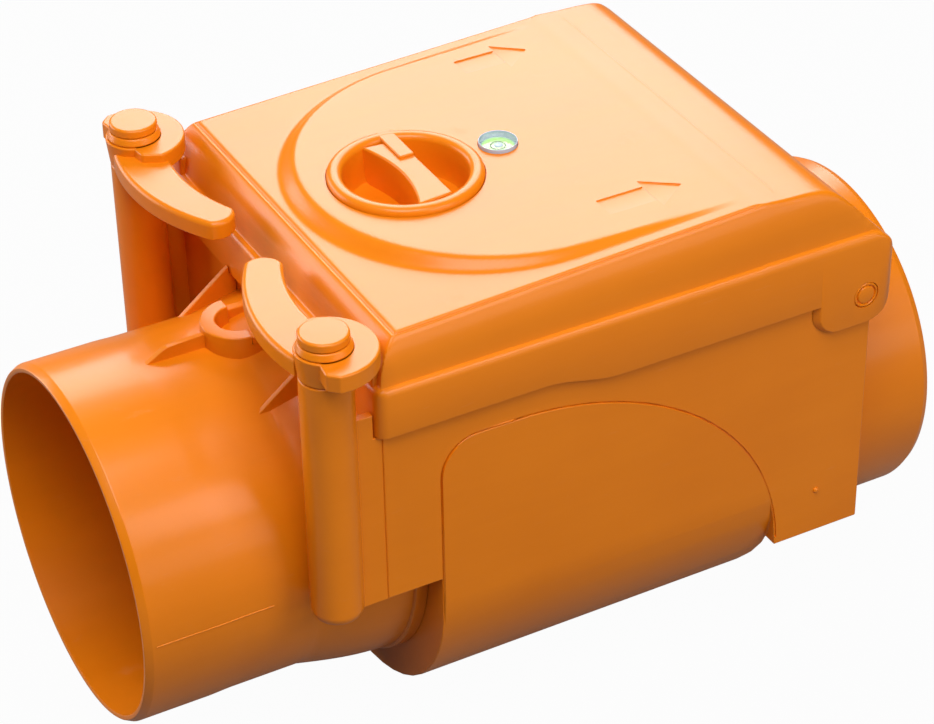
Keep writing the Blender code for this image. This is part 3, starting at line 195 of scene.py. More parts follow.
# How far the lid's outer skin has risen from its ridge to its top, by the
# distance in from its side and from its front
SIDE_RISE = (
    (0.0, -0.155), (0.0002, -0.113), (0.0006, -0.068), (0.0012, -0.030), (0.0019, -0.008), (0.0026, 0.006),
    (0.0028, 0.06), (0.0030, 0.24), (0.0033, 0.40), (0.0038, 0.54), (0.0045, 0.67), (0.0055, 0.80),
    (0.0066, 0.90), (0.0076, 0.966), (0.0084, 1.0),
)
FRONT_RISE = (
    (0.0, -0.155), (0.0002, -0.113), (0.0006, -0.068), (0.0012, -0.030), (0.0019, -0.008), (0.0026, 0.006),
    (0.0030, 0.05), (0.0034, 0.21), (0.0041, 0.38), (0.0050, 0.53), (0.0062, 0.67), (0.0080, 0.81),
    (0.0098, 0.91), (0.0112, 0.968), (0.0124, 1.0),
)
# Height of the lid's skin above the housing's rim, by the distance from its rear
REAR_FALL = (
    (0.0, -0.0060), (0.0010, -0.0035), (0.0020, -0.0018), (0.0045, 0.0004), (0.0101, 0.0062),
    (0.0146, 0.0112), (0.0178, 0.0150), (0.0220, 0.0197), (0.0266, 0.0241), (0.0300, 0.0267),
    (0.0345, 0.0285), (0.0405, 0.0295), (0.0500, 0.0304), (0.0600, 0.03095), (0.0710, 0.03125),
)


def lid_top(x):
    """Height of the lid's sloping top."""
    return TOP_Z + LID_RISE + LID_SLOPE * (x - FRONT_X)


class Socket:
    """A socket of a node tree that takes part in sums."""

    def __init__(self, tree, end=None):
        self.tree = tree
        self.end = end

    def node(self, kind, inputs=None, out=0, **settings):
        """Add a node: its settings first, then the values or links of its sockets."""
        made = self.tree.nodes.new(kind)
        for name, value in settings.items():
            setattr(made, name, value)
        for key, value in (inputs or {}).items():
            if isinstance(value, Socket):
                self.tree.links.new(value.end, made.inputs[key])
            else:
                made.inputs[key].default_value = value
        return Socket(self.tree, made.outputs[out])

    def sums(self, operation, first, second):
        return self.node("ShaderNodeMath", {0: first, 1: second}, operation=operation)

    def __add__(self, other):
        return self.sums("ADD", self, other)

    __radd__ = __add__

    def __sub__(self, other):
        return self.sums("SUBTRACT", self, other)

    def __rsub__(self, other):
        return self.sums("SUBTRACT", other, self)

    def __mul__(self, other):
        return self.sums("MULTIPLY", self, other)

    __rmul__ = __mul__

    def __truediv__(self, other):
        return self.sums("DIVIDE", self, other)

    def __rtruediv__(self, other):
        return self.sums("DIVIDE", other, self)

    def noise(self, place, scale, detail=2.0, roughness=0.5):
        """Noise over a place, from 0 to 1."""
        inputs = {"Vector": place, "Scale": scale, "Detail": detail, "Roughness": roughness}
        return self.node("ShaderNodeTexNoise", inputs)

    def stretch(self, place, scale):
        """The place drawn out or squeezed along its axes."""
        return self.node("ShaderNodeMapping", {"Vector": place, "Scale": scale})

    def step(self, low, high):
        """A smooth step of this value between two levels."""
        inputs = {"Value": self, "From Min": low, "From Max": high}
        return self.node("ShaderNodeMapRange", inputs, interpolation_type="SMOOTHSTEP")

    def blend(self, first, second):
        """A colour between two colours, by this value."""
        inputs = {0: self, 6: first, 7: second}
        return self.node("ShaderNodeMix", inputs, out=2, data_type="RGBA")

    def bump(self, strength, distance):
        """A normal that this height bends."""
        inputs = {"Height": self, "Strength": strength, "Distance": distance}
        return self.node("ShaderNodeBump", inputs)


def finish(name, fixed, dress):
    """A material: fixed values on the shader's sockets, and what dress links to them."""
    material = bpy.data.materials.new(name)
    material.use_nodes = True
    tree = material.node_tree
    shader = tree.nodes["Principled BSDF"]
    for key, value in fixed.items():
        shader.inputs[key].default_value = value
    start = Socket(tree)
    place = start.node("ShaderNodeTexCoord", out="Object")
    for key, value in dress(start, place).items():
        tree.links.new(value.end, shader.inputs[key])
    return material


def moulded_plastic(name, colour, deep, roughness, coat=0.0):
    """Injection-moulded plastic: flow marks, fine grain and light scuffs."""
    def dress(start, place):
        broad = start.noise(place, 14.0, 3.0)
        flow = start.noise(start.stretch(place, (9.0, 60.0, 46.0)), 1.0, 4.0, 0.6)
        grain = start.noise(place, 2600.0, 2.0, 0.6)
        ripple = start.noise(place, 120.0, 2.0)
        scuff = start.noise(start.stretch(place, (60.0, 60.0, 420.0)), 1.0, 5.0, 0.7).step(0.60, 0.78)
        shade = broad * 0.55 + flow * 0.45
        base = shade.step(0.30, 0.72).blend(deep, colour)
        pale = tuple(min(1.0, 0.75 * c + 0.20) for c in colour[:3]) + (1.0,)
        return {
            "Base Color": (scuff * 0.10).blend(base, pale),
            "Roughness": roughness - 0.04 + flow * 0.06 + grain * 0.04 + scuff * 0.10,
            "Normal": (grain * 0.35 + ripple * 1.4 + flow * 0.8).bump(0.30, 0.00012),
        }
    fixed = {"IOR": 1.49, "Specular IOR Level": 0.30, "Coat Weight": coat, "Coat Roughness": 0.14}
    return finish(name, fixed, dress)


def rubber(name, colour):
    """Matt black rubber with a fine skin and pale bloom."""
    def dress(start, place):
        bloom = start.noise(place, 55.0, 5.0, 0.65)
        skin = start.noise(place, 3200.0, 1.0)
        pale = tuple(c + 0.03 for c in colour[:3]) + (1.0,)
        return {
            "Base Color": bloom.step(0.45, 0.8).blend(colour, pale),
            "Roughness": 0.58 + bloom * 0.22,
            "Normal": skin.bump(0.35, 0.00008),
        }
    return finish(name, {"IOR": 1.52}, dress)


def steel(name, colour):
    """Turned stainless steel with fine rings and a few dull patches."""
    def dress(start, place):
        rings = start.noise(start.stretch(place, (60.0, 2400.0, 60.0)), 1.0, 2.0)
        dull = start.noise(place, 160.0, 4.0)
        grey = tuple(c * 0.82 for c in colour[:3]) + (1.0,)
        return {
            "Base Color": dull.step(0.4, 0.75).blend(colour, grey),
            "Roughness": 0.20 + rings * 0.14 + dull * 0.08,
            "Normal": rings.bump(0.15, 0.00005),
        }
    return finish(name, {"Metallic": 1.0}, dress)


def level_liquid(name, colour):
    """Green liquid of the level, with painted light: paler in the middle and a darker blue-grey edge,
    standing in for light refracted through the liquid and its lens.
    """
    def dress(start, place):
        centre = (-LEVEL.x, -LEVEL.y, 0.0)
        moved = start.node("ShaderNodeMapping", {"Vector": place, "Location": centre})
        flat = start.node("ShaderNodeVectorMath", {0: moved, 1: (1.0, 1.0, 0.0)}, operation="MULTIPLY")
        across = start.node("ShaderNodeVectorMath", {0: flat}, out="Value", operation="LENGTH")
        # Painted light: the pale middle and the blue-grey edge stand in for refraction, not for the liquid's
        # own colour
        pale = (0.72, 0.98, 0.40, 1.0)
        edge = (0.24, 0.42, 0.50, 1.0)
        inner = across.step(0.0, 0.0060).blend(pale, colour)
        haze = start.noise(place, 700.0, 2.0)
        return {
            # Painted refraction: a darker blue-grey ring at the liquid's rim over a painted pale middle
            "Base Color": across.step(0.0064, 0.0080).blend(inner, edge),
            "Roughness": 0.06 + haze * 0.05,
        }
    return finish(name, {"IOR": 1.36, "Coat Weight": 0.6}, dress)


def clear_lens(name, colour):
    """Clear plastic lens with hair scratches."""
    def dress(start, place):
        hair = start.noise(start.stretch(place, (500.0, 90.0, 90.0)), 1.0, 4.0)
        haze = start.noise(place, 400.0, 2.0)
        cool = tuple(c * 0.9 for c in colour[:3]) + (1.0,)
        return {
            "Base Color": haze.blend(colour, cool),
            "Roughness": 0.03 + hair.step(0.55, 0.8) * 0.12,
            "Alpha": 0.06 + haze * 0.06,
        }
    return finish(name, {"IOR": 1.49, "Coat Weight": 0.5}, dress)


def pale_floor(name, colour):
    """Floor that the camera sees nearly white and that still takes the shadow."""
    material = bpy.data.materials.new(name)
    material.use_nodes = True
    tree = material.node_tree
    tree.nodes.remove(tree.nodes["Principled BSDF"])
    start = Socket(tree)
    matt = start.node("ShaderNodeBsdfDiffuse", {"Color": colour})
    glow = start.node("ShaderNodeEmission", {"Color": (1.0, 1.0, 1.0, 1.0), "Strength": 1.0})
    camera = start.node("ShaderNodeLightPath", out="Is Camera Ray")
    glossy = start.node("ShaderNodeLightPath", out="Is Glossy Ray")
    through = start.node("ShaderNodeLightPath", out="Is Transmission Ray")
    seen = start.sums("MINIMUM", camera + glossy * FLOOR_IN_GLOSS + through, 1.0)
    mixed = start.node("ShaderNodeMixShader", {0: seen * FLOOR_GLOW, 1: matt, 2: glow})
    tree.links.new(mixed.end, tree.nodes["Material Output"].inputs["Surface"])
    return material


def between(pairs, at):
    """Value at a place on a smooth line through pairs of place and value."""
    if at <= pairs[0][0]:
        return pairs[0][1]
    if at >= pairs[-1][0]:
        return pairs[-1][1]
    k = 0
    while pairs[k + 1][0] < at:
        k += 1
    slopes = [(b[1] - a[1]) / (b[0] - a[0]) for a, b in zip(pairs, pairs[1:])]

    def bend(i):
        if i == 0 or i == len(pairs) - 1:
            return slopes[0] if i == 0 else slopes[-1]
        first, second = slopes[i - 1], slopes[i]
        return 0.0 if first * second <= 0 else 2 * first * second / (first + second)

    width = pairs[k + 1][0] - pairs[k][0]
    t = (at - pairs[k][0]) / width
    start, end = pairs[k][1], pairs[k + 1][1]
    return (
        start * (1 + 2 * t) * (1 - t) ** 2 + end * t * t * (3 - 2 * t)
        + width * (bend(k) * t * (1 - t) ** 2 - bend(k + 1) * t * t * (1 - t))
    )


def smooth_step(share):
    """A smooth step from 0 to 1."""
    share = max(0.0, min(1.0, share))
    return share * share * (3 - 2 * share)


def soft_least(a, b, soft):
    """The smaller of two heights, rounded where they cross."""
    share = max(0.0, min(1.0, 0.5 + 0.5 * (b - a) / soft))
    return b + (a - b) * share - soft * share * (1 - share)


def arc(centre_a, centre_b, radius, start, end, steps):
    """Points on an arc in a plane, angles in degrees."""
    points = []
    for i in range(steps + 1):
        angle = math.radians(start + (end - start) * i / steps)
        points.append((centre_a + radius * math.cos(angle), centre_b + radius * math.sin(angle)))
    return points


def bowed(start, end, bow, steps):
    """Points on the arc from start to end that swells to its left by the bow."""
    start, end = Vector(start), Vector(end)
    half = (end - start).length / 2
    along = (end - start).normalized()
    left = Vector((-along.y, along.x)) * math.copysign(1.0, bow)
    radius = (half * half + bow * bow) / (2 * abs(bow))
    centre = (start + end) / 2 - left * (radius - abs(bow))
    spread = math.atan2(half, radius - abs(bow))
    angles = [spread * (2 * i / steps - 1) for i in range(steps + 1)]
    return [tuple(centre + radius * (along * math.sin(a) + left * math.cos(a))) for a in angles]


def corner(outline, i, radius, steps):
    """Points that round one corner of an outline."""
    here = Vector(outline[i])
    before = Vector(outline[i - 1]) - here
    after = Vector(outline[(i + 1) % len(outline)]) - here
    reach = min(radius, before.length * 0.45, after.length * 0.45)
    first = here + before.normalized() * reach
    last = here + after.normalized() * reach
    shares = [k / steps for k in range(steps + 1)]
    return [tuple(first * (1 - t) ** 2 + here * 2 * t * (1 - t) + last * t * t) for t in shares]


def rounded_corners(outline, radius, steps=5):
    """The outline with an arc in the place of each corner."""
    return [point for i in range(len(outline)) for point in corner(outline, i, radius, steps)]


def linked(name, data):
    """An object of the scene that holds the data."""
    made = bpy.data.objects.new(name, data)
    bpy.context.scene.collection.objects.link(made)
    return made


def meshed(name, bm):
    """An object with the mesh of a bmesh, which is used up."""
    mesh = bpy.data.meshes.new(name)
    bm.to_mesh(mesh)
    bm.free()
    return linked(name, mesh)


def shape(name, bm):
    """A mesh object from a closed bmesh, with its faces turned outwards."""
    bmesh.ops.recalc_face_normals(bm, faces=bm.faces)
    return meshed(name, bm)


def skin(bm, rings, capped=True):
    """Join rings of points with quads and close the two ends."""
    rings = [[bm.verts.new(point) for point in ring] for ring in rings]
    count = len(rings[0])
    for lower, upper in zip(rings, rings[1:]):
        for i in range(count):
            j = (i + 1) % count
            bm.faces.new((lower[i], lower[j], upper[j], upper[i]))
    if capped:
        bm.faces.new(rings[0][::-1])
        bm.faces.new(rings[-1])
    return rings


PLACES = {
    "X": lambda a, b, c: (c, a, b),
    "Y": lambda a, b, c: (a, c, b),
    "Z": lambda a, b, c: (a, b, c),
}


def slab(name, outline, axis, low, high, soft=0.0, foot=0.0):
    """A plate from an outline, with its edges rounded at the top and the foot."""
    points = [Vector(point) for point in outline]
    count = len(points)
    area = sum(points[i - 1].cross(points[i]) for i in range(count))
    turn = 1.0 if area > 0 else -1.0
    inward = []
    for i in range(count):
        first = (points[i] - points[i - 1]).normalized()
        second = (points[(i + 1) % count] - points[i]).normalized()
        side = (Vector((-first.y, first.x)) + Vector((-second.y, second.x))) * turn
        inward.append(side.normalized() / max(0.5, side.length / 2))

    def ring(inset, level):
        moved = [point + way * inset for point, way in zip(points, inward)]
        return [PLACES[axis](point.x, point.y, level) for point in moved]

    sign = 1.0 if high > low else -1.0
    rings = []
    for radius, level, way in ((foot, low, sign), (soft, high, -sign)):
        edge = []
        steps = 4 if radius else 0
        for k in range(steps + 1):
            angle = math.pi / 2 * k / steps if steps else math.pi / 2
            edge.append(ring(radius * (1 - math.sin(angle)), level + way * radius * (1 - math.cos(angle))))
        rings += edge if way == sign else edge[::-1]
    bm = bmesh.new()
    skin(bm, rings)
    return shape(name, bm)


def turned(name, profile, axis, centre, segments=96):
    """Turn a closed profile of (along, radius) points round an axis."""
    place = {
        "X": lambda a, r, c, s: (a, r * c, r * s),
        "Y": lambda a, r, c, s: (r * s, a, r * c),
        "Z": lambda a, r, c, s: (r * c, r * s, a),
    }[axis]
    bm = bmesh.new()
    rings = []
    for along, radius in profile:
        angles = [2 * math.pi * i / segments for i in range(segments if radius else 1)]
        points = [Vector(place(along, radius, math.cos(a), math.sin(a))) for a in angles]
        rings.append([bm.verts.new(point + Vector(centre)) for point in points])
    pairs = list(zip(rings, rings[1:]))
    if len(rings[0]) > 1:
        pairs.append((rings[-1], rings[0]))
    for first, second in pairs:
        for i in range(segments):
            j = (i + 1) % segments
            corners = [first[i % len(first)], first[j % len(first)]]
            corners += [second[j % len(second)], second[i % len(second)]]
            bm.faces.new(list(dict.fromkeys(corners)))
    return shape(name, bm)


def plug(name, low, high, radius, centre, segments, axis="Z"):
    """A plain round bar."""
    return turned(name, [(low, 0.0), (low, radius), (high, radius), (high, 0.0)], axis, centre, segments)


def rounded(profile, radius, steps=4):
    """A turned profile with its corners off the axis rounded."""
    result = []
    last = len(profile) - 1
    for i, point in enumerate(profile):
        if point[1] == 0.0 or (profile[0][1] == 0.0 and i in (0, last)):
            result.append(point)
            continue
        result += corner(profile, i, radius, steps)
    return result


def combine(base, operation, *tools):
    """Apply Booleans and remove the tools."""
    for tool in tools:
        modifier = base.modifiers.new("Combine", "BOOLEAN")
        modifier.operation = operation
        modifier.solver = "MANIFOLD"
        modifier.object = tool
    view = bpy.context.evaluated_depsgraph_get()
    result = bpy.data.meshes.new_from_object(base.evaluated_get(view))
    base.modifiers.clear()
    base.data = result
    for tool in tools:
        bpy.data.objects.remove(tool)
    return base


def joined(name, pieces):
    """Several pieces as the shells of one mesh."""
    bm = bmesh.new()
    for piece in pieces:
        bm.from_mesh(piece.data)
        bpy.data.objects.remove(piece)
    return meshed(name, bm)


def mirrored(piece, name):
    """A copy of a piece on the other side of the middle plane."""
    mesh = piece.data.copy()
    mesh.transform(Matrix.Scale(-1.0, 4, Vector((0.0, 1.0, 0.0))))
    mesh.flip_normals()
    return linked(name, mesh)


def softened(node, width, angle=35.0):
    """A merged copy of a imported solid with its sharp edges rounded, less so at short ones."""
    bm = bmesh.new()
    bm.from_mesh(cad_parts[node].data)
    bmesh.ops.remove_doubles(bm, verts=bm.verts, dist=0.0002)
    bmesh.ops.dissolve_limit(bm, angle_limit=math.radians(1.0), verts=bm.verts, edges=bm.edges)
    weight = bm.edges.layers.float.new("bevel_weight_edge")
    for edge in bm.edges:
        if len(edge.link_faces) == 2 and edge.calc_face_angle(0.0) > math.radians(angle):
            around = [other for end in edge.verts for other in end.link_edges if other is not edge]
            shortest = min(other.calc_length() for other in around)
            edge[weight] = min(1.0, 0.45 * shortest / width)
    piece = meshed(node + "_form", bm)
    modifier = piece.modifiers.new("Round", "BEVEL")
    modifier.width = width
    modifier.segments = 3
    modifier.limit_method = "WEIGHT"
    modifier.use_clamp_overlap = False
    return plain(piece)


def plain(piece):
    """Turn what a piece's modifiers make into its own mesh."""
    view = bpy.context.evaluated_depsgraph_get()
    mesh = bpy.data.meshes.new_from_object(piece.evaluated_get(view))
    piece.modifiers.clear()
    piece.data = mesh
    return piece


def place(piece, body, material, slot, nodes=(), angle=33.0, level=True):
    """Give a piece its finish and shading and set it on its body."""
    piece.data.materials.clear()
    piece.data.materials.append(material)
    piece.data.shade_smooth()
    piece.data.set_sharp_from_angle(angle=math.radians(angle))
    if level:
        modifier = piece.modifiers.new("Flat faces first", "WEIGHTED_NORMAL")
        modifier.keep_sharp = True
        plain(piece)
    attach(piece, body)
    if nodes:
        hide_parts(*nodes)
    return piece


def repaint(material, *nodes):
    """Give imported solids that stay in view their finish."""
    for node in nodes:
        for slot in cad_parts[node].material_slots:
            slot.material = material


def grower(name, sizes, build):
    """Geometry nodes with named inputs that end in real geometry with its finish."""
    tree = bpy.data.node_groups.get(name)
    if tree:
        return tree
    tree = bpy.data.node_groups.new(name, "GeometryNodeTree")
    face = tree.interface
    face.new_socket("Start", in_out="INPUT", socket_type="NodeSocketGeometry")
    for word, kind, value in sizes:
        socket = face.new_socket(word, in_out="INPUT", socket_type="NodeSocket" + kind)
        if value is not None:
            socket.default_value = value
    face.new_socket("Finish", in_out="INPUT", socket_type="NodeSocketMaterial")
    face.new_socket("Result", in_out="OUTPUT", socket_type="NodeSocketGeometry")
    start = Socket(tree)
    given = tree.nodes.new("NodeGroupInput")
    gives = {socket.name: Socket(tree, socket) for socket in given.outputs if socket.name}
    real = start.node("GeometryNodeRealizeInstances", {0: build(start, gives)})
    dressed = start.node("GeometryNodeSetMaterial", {"Geometry": real, "Material": gives["Finish"]})
    out = tree.nodes.new("NodeGroupOutput")
    tree.links.new(dressed.end, out.inputs["Result"])
    return tree


def pieces_on_points():
    """Geometry nodes that set a copy of a piece on every point of a mesh."""
    def build(start, gives):
        piece = start.node("GeometryNodeObjectInfo", {"Object": gives["Piece"]}, out="Geometry")
        turn = {"Min": (0.0, 0.0, 0.0), "Max": gives["Spin"], "Seed": SPIN_SEED}
        spin = start.node("FunctionNodeRandomValue", turn, data_type="FLOAT_VECTOR")
        inputs = {"Points": gives["Start"], "Instance": piece, "Rotation": spin, "Scale": gives["Size"]}
        return start.node("GeometryNodeInstanceOnPoints", inputs)
    sizes = (("Piece", "Object", None), ("Size", "Float", 1.0), ("Spin", "Vector", None))
    return grower("Pieces on points", sizes, build)


def raised_line():
    """Geometry nodes that lay a round bead along the edges of a mesh."""
    def build(start, gives):
        path = start.node("GeometryNodeMeshToCurve", {"Mesh": gives["Start"]})
        bends = {"Curve": path, "Radius": gives["Corner"], "Count": 3}
        soft = start.node("GeometryNodeFilletCurve", bends, mode="POLY")
        wide = {"Resolution": 10, "Radius": gives["Width"] / 2.0}
        round_bead = start.node("GeometryNodeCurvePrimitiveCircle", wide)
        inputs = {"Curve": soft, "Profile Curve": round_bead, "Fill Caps": True}
        return start.node("GeometryNodeCurveToMesh", inputs)
    sizes = (("Width", "Float", 0.001), ("Corner", "Float", 0.0004))
    return grower("Raised line", sizes, build)


def grown(host, tree, values):
    """Run a node tree on a mesh with the given inputs and keep the result as its mesh."""
    modifier = host.modifiers.new("Grow", "NODES")
    modifier.node_group = tree
    for item in tree.interface.items_tree:
        if item.in_out == "INPUT" and item.name in values:
            modifier[item.identifier] = values[item.name]
    return plain(host)


def points_mesh(name, points, edges=()):
    """A mesh of loose points, joined by edges where they are given."""
    mesh = bpy.data.meshes.new(name)
    mesh.from_pydata([tuple(point) for point in points], list(edges), [])
    return linked(name, mesh)


def copies(name, template, points, material, spin=(0.0, 0.0, 0.0)):
    """Copies of a template on points, as one plain mesh."""
    host = points_mesh(name, points)
    values = {"Piece": template, "Size": 1.0, "Spin": spin, "Finish": material}
    grown(host, pieces_on_points(), values)
    bpy.data.objects.remove(template)
    return host


def bead(name, lines, width, material, corner=0.0004):
    """Raised beads along open lines of points."""
    points, edges = [], []
    for line in lines:
        first = len(points)
        points += line
        edges += [(first + i, first + i + 1) for i in range(len(line) - 1)]
    host = points_mesh(name, points, edges)
    return grown(host, raised_line(), {"Width": width, "Corner": corner, "Finish": material})


def arch_line(out):
    """Points up the front edge of the side's arched panel, over it and down, set out by a width."""
    line = [(PANEL_X - out, PANEL_LOW_Z)]
    line += arc(PANEL_X + PANEL_CORNER, PANEL_TOP_Z - PANEL_CORNER, PANEL_CORNER + out, 180, 90, 8)
    for i in range(1, 25):
        angle = math.radians(90 - 88 * i / 24)
        line.append((PANEL_END_X - PANEL_REACH + (PANEL_REACH + out) * math.cos(angle),
                     PANEL_FOOT_Z + (PANEL_TOP_Z - PANEL_FOOT_Z + out) * math.sin(angle)))
    return line


def groove_place(x, y):
    """1 on the groove line round the lid's top, less outside it and more inside."""
    return min((LID_SIDE - abs(y)) / GROOVE_SIDE, (x - LID_X) / GROOVE_FRONT)


def platform_rise(x, y):
    """Height of the level D-shaped field, which the rising top meets at the rear."""
    rise = max(0.0, lid_top(PLATFORM_END_X) - lid_top(x))
    out = math.hypot(min(0.0, x - PLATFORM_X), y)
    return rise * smooth_step((PLATFORM_RADIUS - out) / (PLATFORM_BANK * rise + 0.0006))


def lid_height(x, y):
    """Height of the lid's outer skin."""
    rise = lid_top(x) - RIDGE_Z
    height = RIDGE_Z + between(SIDE_RISE, LID_SIDE - abs(y)) * rise
    height = soft_least(height, RIDGE_Z + between(FRONT_RISE, x - LID_X) * rise, 0.0016)
    fall = LID_END_X - x
    rear = TOP_Z + between(REAR_FALL, fall) if fall < REAR_FALL[-1][0] else lid_top(x)
    height = soft_least(height, rear, 0.0040 * smooth_step((0.07 - fall) / 0.02) + 0.00001)
    settings = bpy.context.scene.valve_looks
    edge = groove_place(x, y)
    fade = smooth_step((GROOVE_END_X - x) / 0.003)
    outside = settings.border * smooth_step((1.0 - edge) / 0.06)
    line = settings.groove * math.exp(-((edge - 1.0) / 0.045) ** 2)
    return height - fade * (outside + line) + platform_rise(x, y)


def skirt_edge(x, y):
    """Height of the skirt's lower edge: an ogee step, a lobe round each pin, and the rear."""
    if abs(y) < LID_SIDE - 0.0029:
        return TOP_Z - (0.014 if x > LID_END_X - 0.006 else 0.019)
    if x < EAR_START_X:
        return TOP_Z - 0.019 - 0.0062 * smooth_step((x + 0.0205) / 0.036)
    low = HINGE.z - EAR_RADIUS
    if x < EAR_START_X + EAR_CORNER:
        across = 1.0 - (x - EAR_START_X) / EAR_CORNER
        return low + EAR_CORNER * (1.0 - math.sqrt(1.0 - across * across))
    across = max(0.0, x - HINGE.x) / EAR_RADIUS
    return low + EAR_RADIUS * (1.0 - math.sqrt(max(0.0, 1.0 - across * across)))


SIDE_LINES = (
    0.0, 0.0002, 0.0004, 0.0006, 0.0009, 0.0012, 0.0017, 0.0021, 0.0023, 0.0026, 0.0028, 0.0030,
    0.0034, 0.0038, 0.0044, 0.0050, 0.0057, 0.0064, 0.0070, 0.0074, 0.0077, 0.0079, 0.0081, 0.0083,
    0.0085, 0.0087, 0.0089, 0.0092, 0.0098,
)
FRONT_LINES = (
    0.0, 0.0002, 0.0004, 0.0006, 0.0009, 0.0012, 0.0017, 0.0022, 0.0025, 0.0028, 0.0031, 0.0034,
    0.0040, 0.0046, 0.0055, 0.0065, 0.0076, 0.0088, 0.0098, 0.0106, 0.0112, 0.0116, 0.0119, 0.0121,
    0.0123, 0.0125, 0.0127, 0.0130, 0.0136,
)
REAR_LINES = (
    0.0, 0.0003, 0.0007, 0.0012, 0.0018, 0.0025, 0.0033, 0.0043, 0.0055, 0.0068, 0.0082, 0.0097,
    0.0115, 0.0133, 0.0150, 0.0168, 0.0186, 0.0204, 0.0222, 0.0240, 0.0258, 0.0275, 0.0290, 0.0305,
    0.0320, 0.0335, 0.0350, 0.0360, 0.0367, 0.0371, 0.0373, 0.03745, 0.03755, 0.0380, 0.0395, 0.0410,
)


def filled(first, last, step):
    """Even places from first to last, both left out."""
    count = max(2, round((last - first) / step))
    return [first + (last - first) * i / count for i in range(1, count)]


def lid_shell():
    """Lid with its shoulder, skirt, groove line, field and the hollow under it."""
    xs = [LID_X + line for line in FRONT_LINES]
    rear = [LID_END_X - line for line in REAR_LINES][::-1]
    xs += filled(xs[-1], rear[0], 0.0015) + rear
    ys = [line - LID_SIDE for line in SIDE_LINES]
    ys += filled(ys[-1], -ys[-1], 0.0016) + [-y for y in ys][::-1]

    def spot(x, y, front=0.0, back=0.0, side=0.0):
        """Place of a grid point in the lid's outline, set in and with round corners."""
        low, high, wide = LID_X + front, LID_END_X - back, LID_SIDE - side
        x = low + (x - LID_X) * (high - low) / (LID_END_X - LID_X)
        y = y * wide / LID_SIDE
        radius = LID_CORNER
        near = low + radius if x < low + radius else high - radius
        a = (near - x) / radius if x < low + radius else max(0.0, (x - near) / radius)
        b = (abs(y) - wide + radius) / radius
        if a <= 0 or b <= 0:
            return x, y
        out = math.copysign(radius, x - near) * a * math.sqrt(1 - b * b / 2)
        return near + out, math.copysign(wide - radius + radius * b * math.sqrt(1 - a * a / 2), y)

    bm = bmesh.new()
    grid = []
    for x in xs:
        grid.append([bm.verts.new((*spot(x, y), lid_height(x, y))) for y in ys])
    for i in range(len(xs) - 1):
        for j in range(len(ys) - 1):
            bm.faces.new((grid[i][j], grid[i + 1][j], grid[i + 1][j + 1], grid[i][j + 1]))
    last_x, last_y = len(xs) - 1, len(ys) - 1
    border = [(i, 0) for i in range(last_x)] + [(last_x, j) for j in range(last_y)]
    border += [(i, last_y) for i in range(last_x, 0, -1)] + [(0, j) for j in range(last_y, 0, -1)]
    room = TOP_Z + LID_SHELL
    rear_room = TOP_Z - 0.006
    steps = [
        (0.0, 0.0, 0.0, lambda x, y: skirt_edge(x, y) + 0.0008),
        (0.0001, 0.0001, 0.0001, lambda x, y: skirt_edge(x, y) + 0.0003),
        (0.0006, 0.0006, 0.0006, skirt_edge),
        (0.0020, 0.0030, 0.0026, skirt_edge),
        (0.0020, 0.0030, 0.0026, lambda x, y: rear_room),
        (0.0020, 0.0083, 0.0026, lambda x, y: rear_room),
        (0.0020, 0.0083, 0.0026, lambda x, y: room),
        (0.0074, 0.0196, 0.0073, lambda x, y: room),
        (0.0084, 0.0264, 0.0083, lambda x, y: room + 0.0054),
        (0.0124, 0.0366, 0.0098, lambda x, y: TOP_Z + LID_RISE - 2 * LID_SHELL),
        (0.0174, 0.0544, 0.0128, lambda x, y: lid_top(x) - LID_SHELL),
    ]
    ring = [grid[i][j] for i, j in border]
    for front, back, side, height in steps:
        lower = []
        for i, j in border:
            x, y = spot(xs[i], ys[j], front, back, side)
            lower.append(bm.verts.new((x, y, height(xs[i], ys[j]))))
        for i in range(len(ring)):
            j = (i + 1) % len(ring)
            bm.faces.new((ring[i], ring[j], lower[j], lower[i]))
        ring = lower
    bm.faces.new(ring)
    return shape("lid_shell", bm)


def flow_arrow(name, centre_x, centre_y, length, width):
    """Tool that sinks a flow arrow into the lid's field, pointing along the flow."""
    head = length * 0.40
    half = width / 2
    stem = width * 0.28
    tip = centre_x + length / 2
    tail = centre_x - length / 2
    flat = [
        (tip, 0.0), (tip - head, half), (tip - head, stem), (tail, stem),
        (tail, -stem), (tip - head, -stem), (tip - head, -half),
    ]
    outline = rounded_corners([(x, centre_y + y) for x, y in flat], 0.0007, 3)
    level = lid_height(centre_x, centre_y)
    arrow = slab(name, outline, "Z", level - bpy.context.scene.valve_looks.mark, level + 0.002, foot=0.0003)
    for vertex in arrow.data.vertices:
        vertex.co.z += lid_height(vertex.co.x, centre_y) - level
    return arrow


def colour_setting(name, description, default):
    """A colour that a user can change."""
    return FloatVectorProperty(
        name=name, description=description, subtype="COLOR", size=4, min=0.0, max=1.0, default=default,
    )


def length_setting(name, description, low, default):
    """A small length that a user can change, up to 2 mm."""
    return FloatProperty(
        name=name, description=description, unit="LENGTH", min=low, max=0.002, default=default,
    )


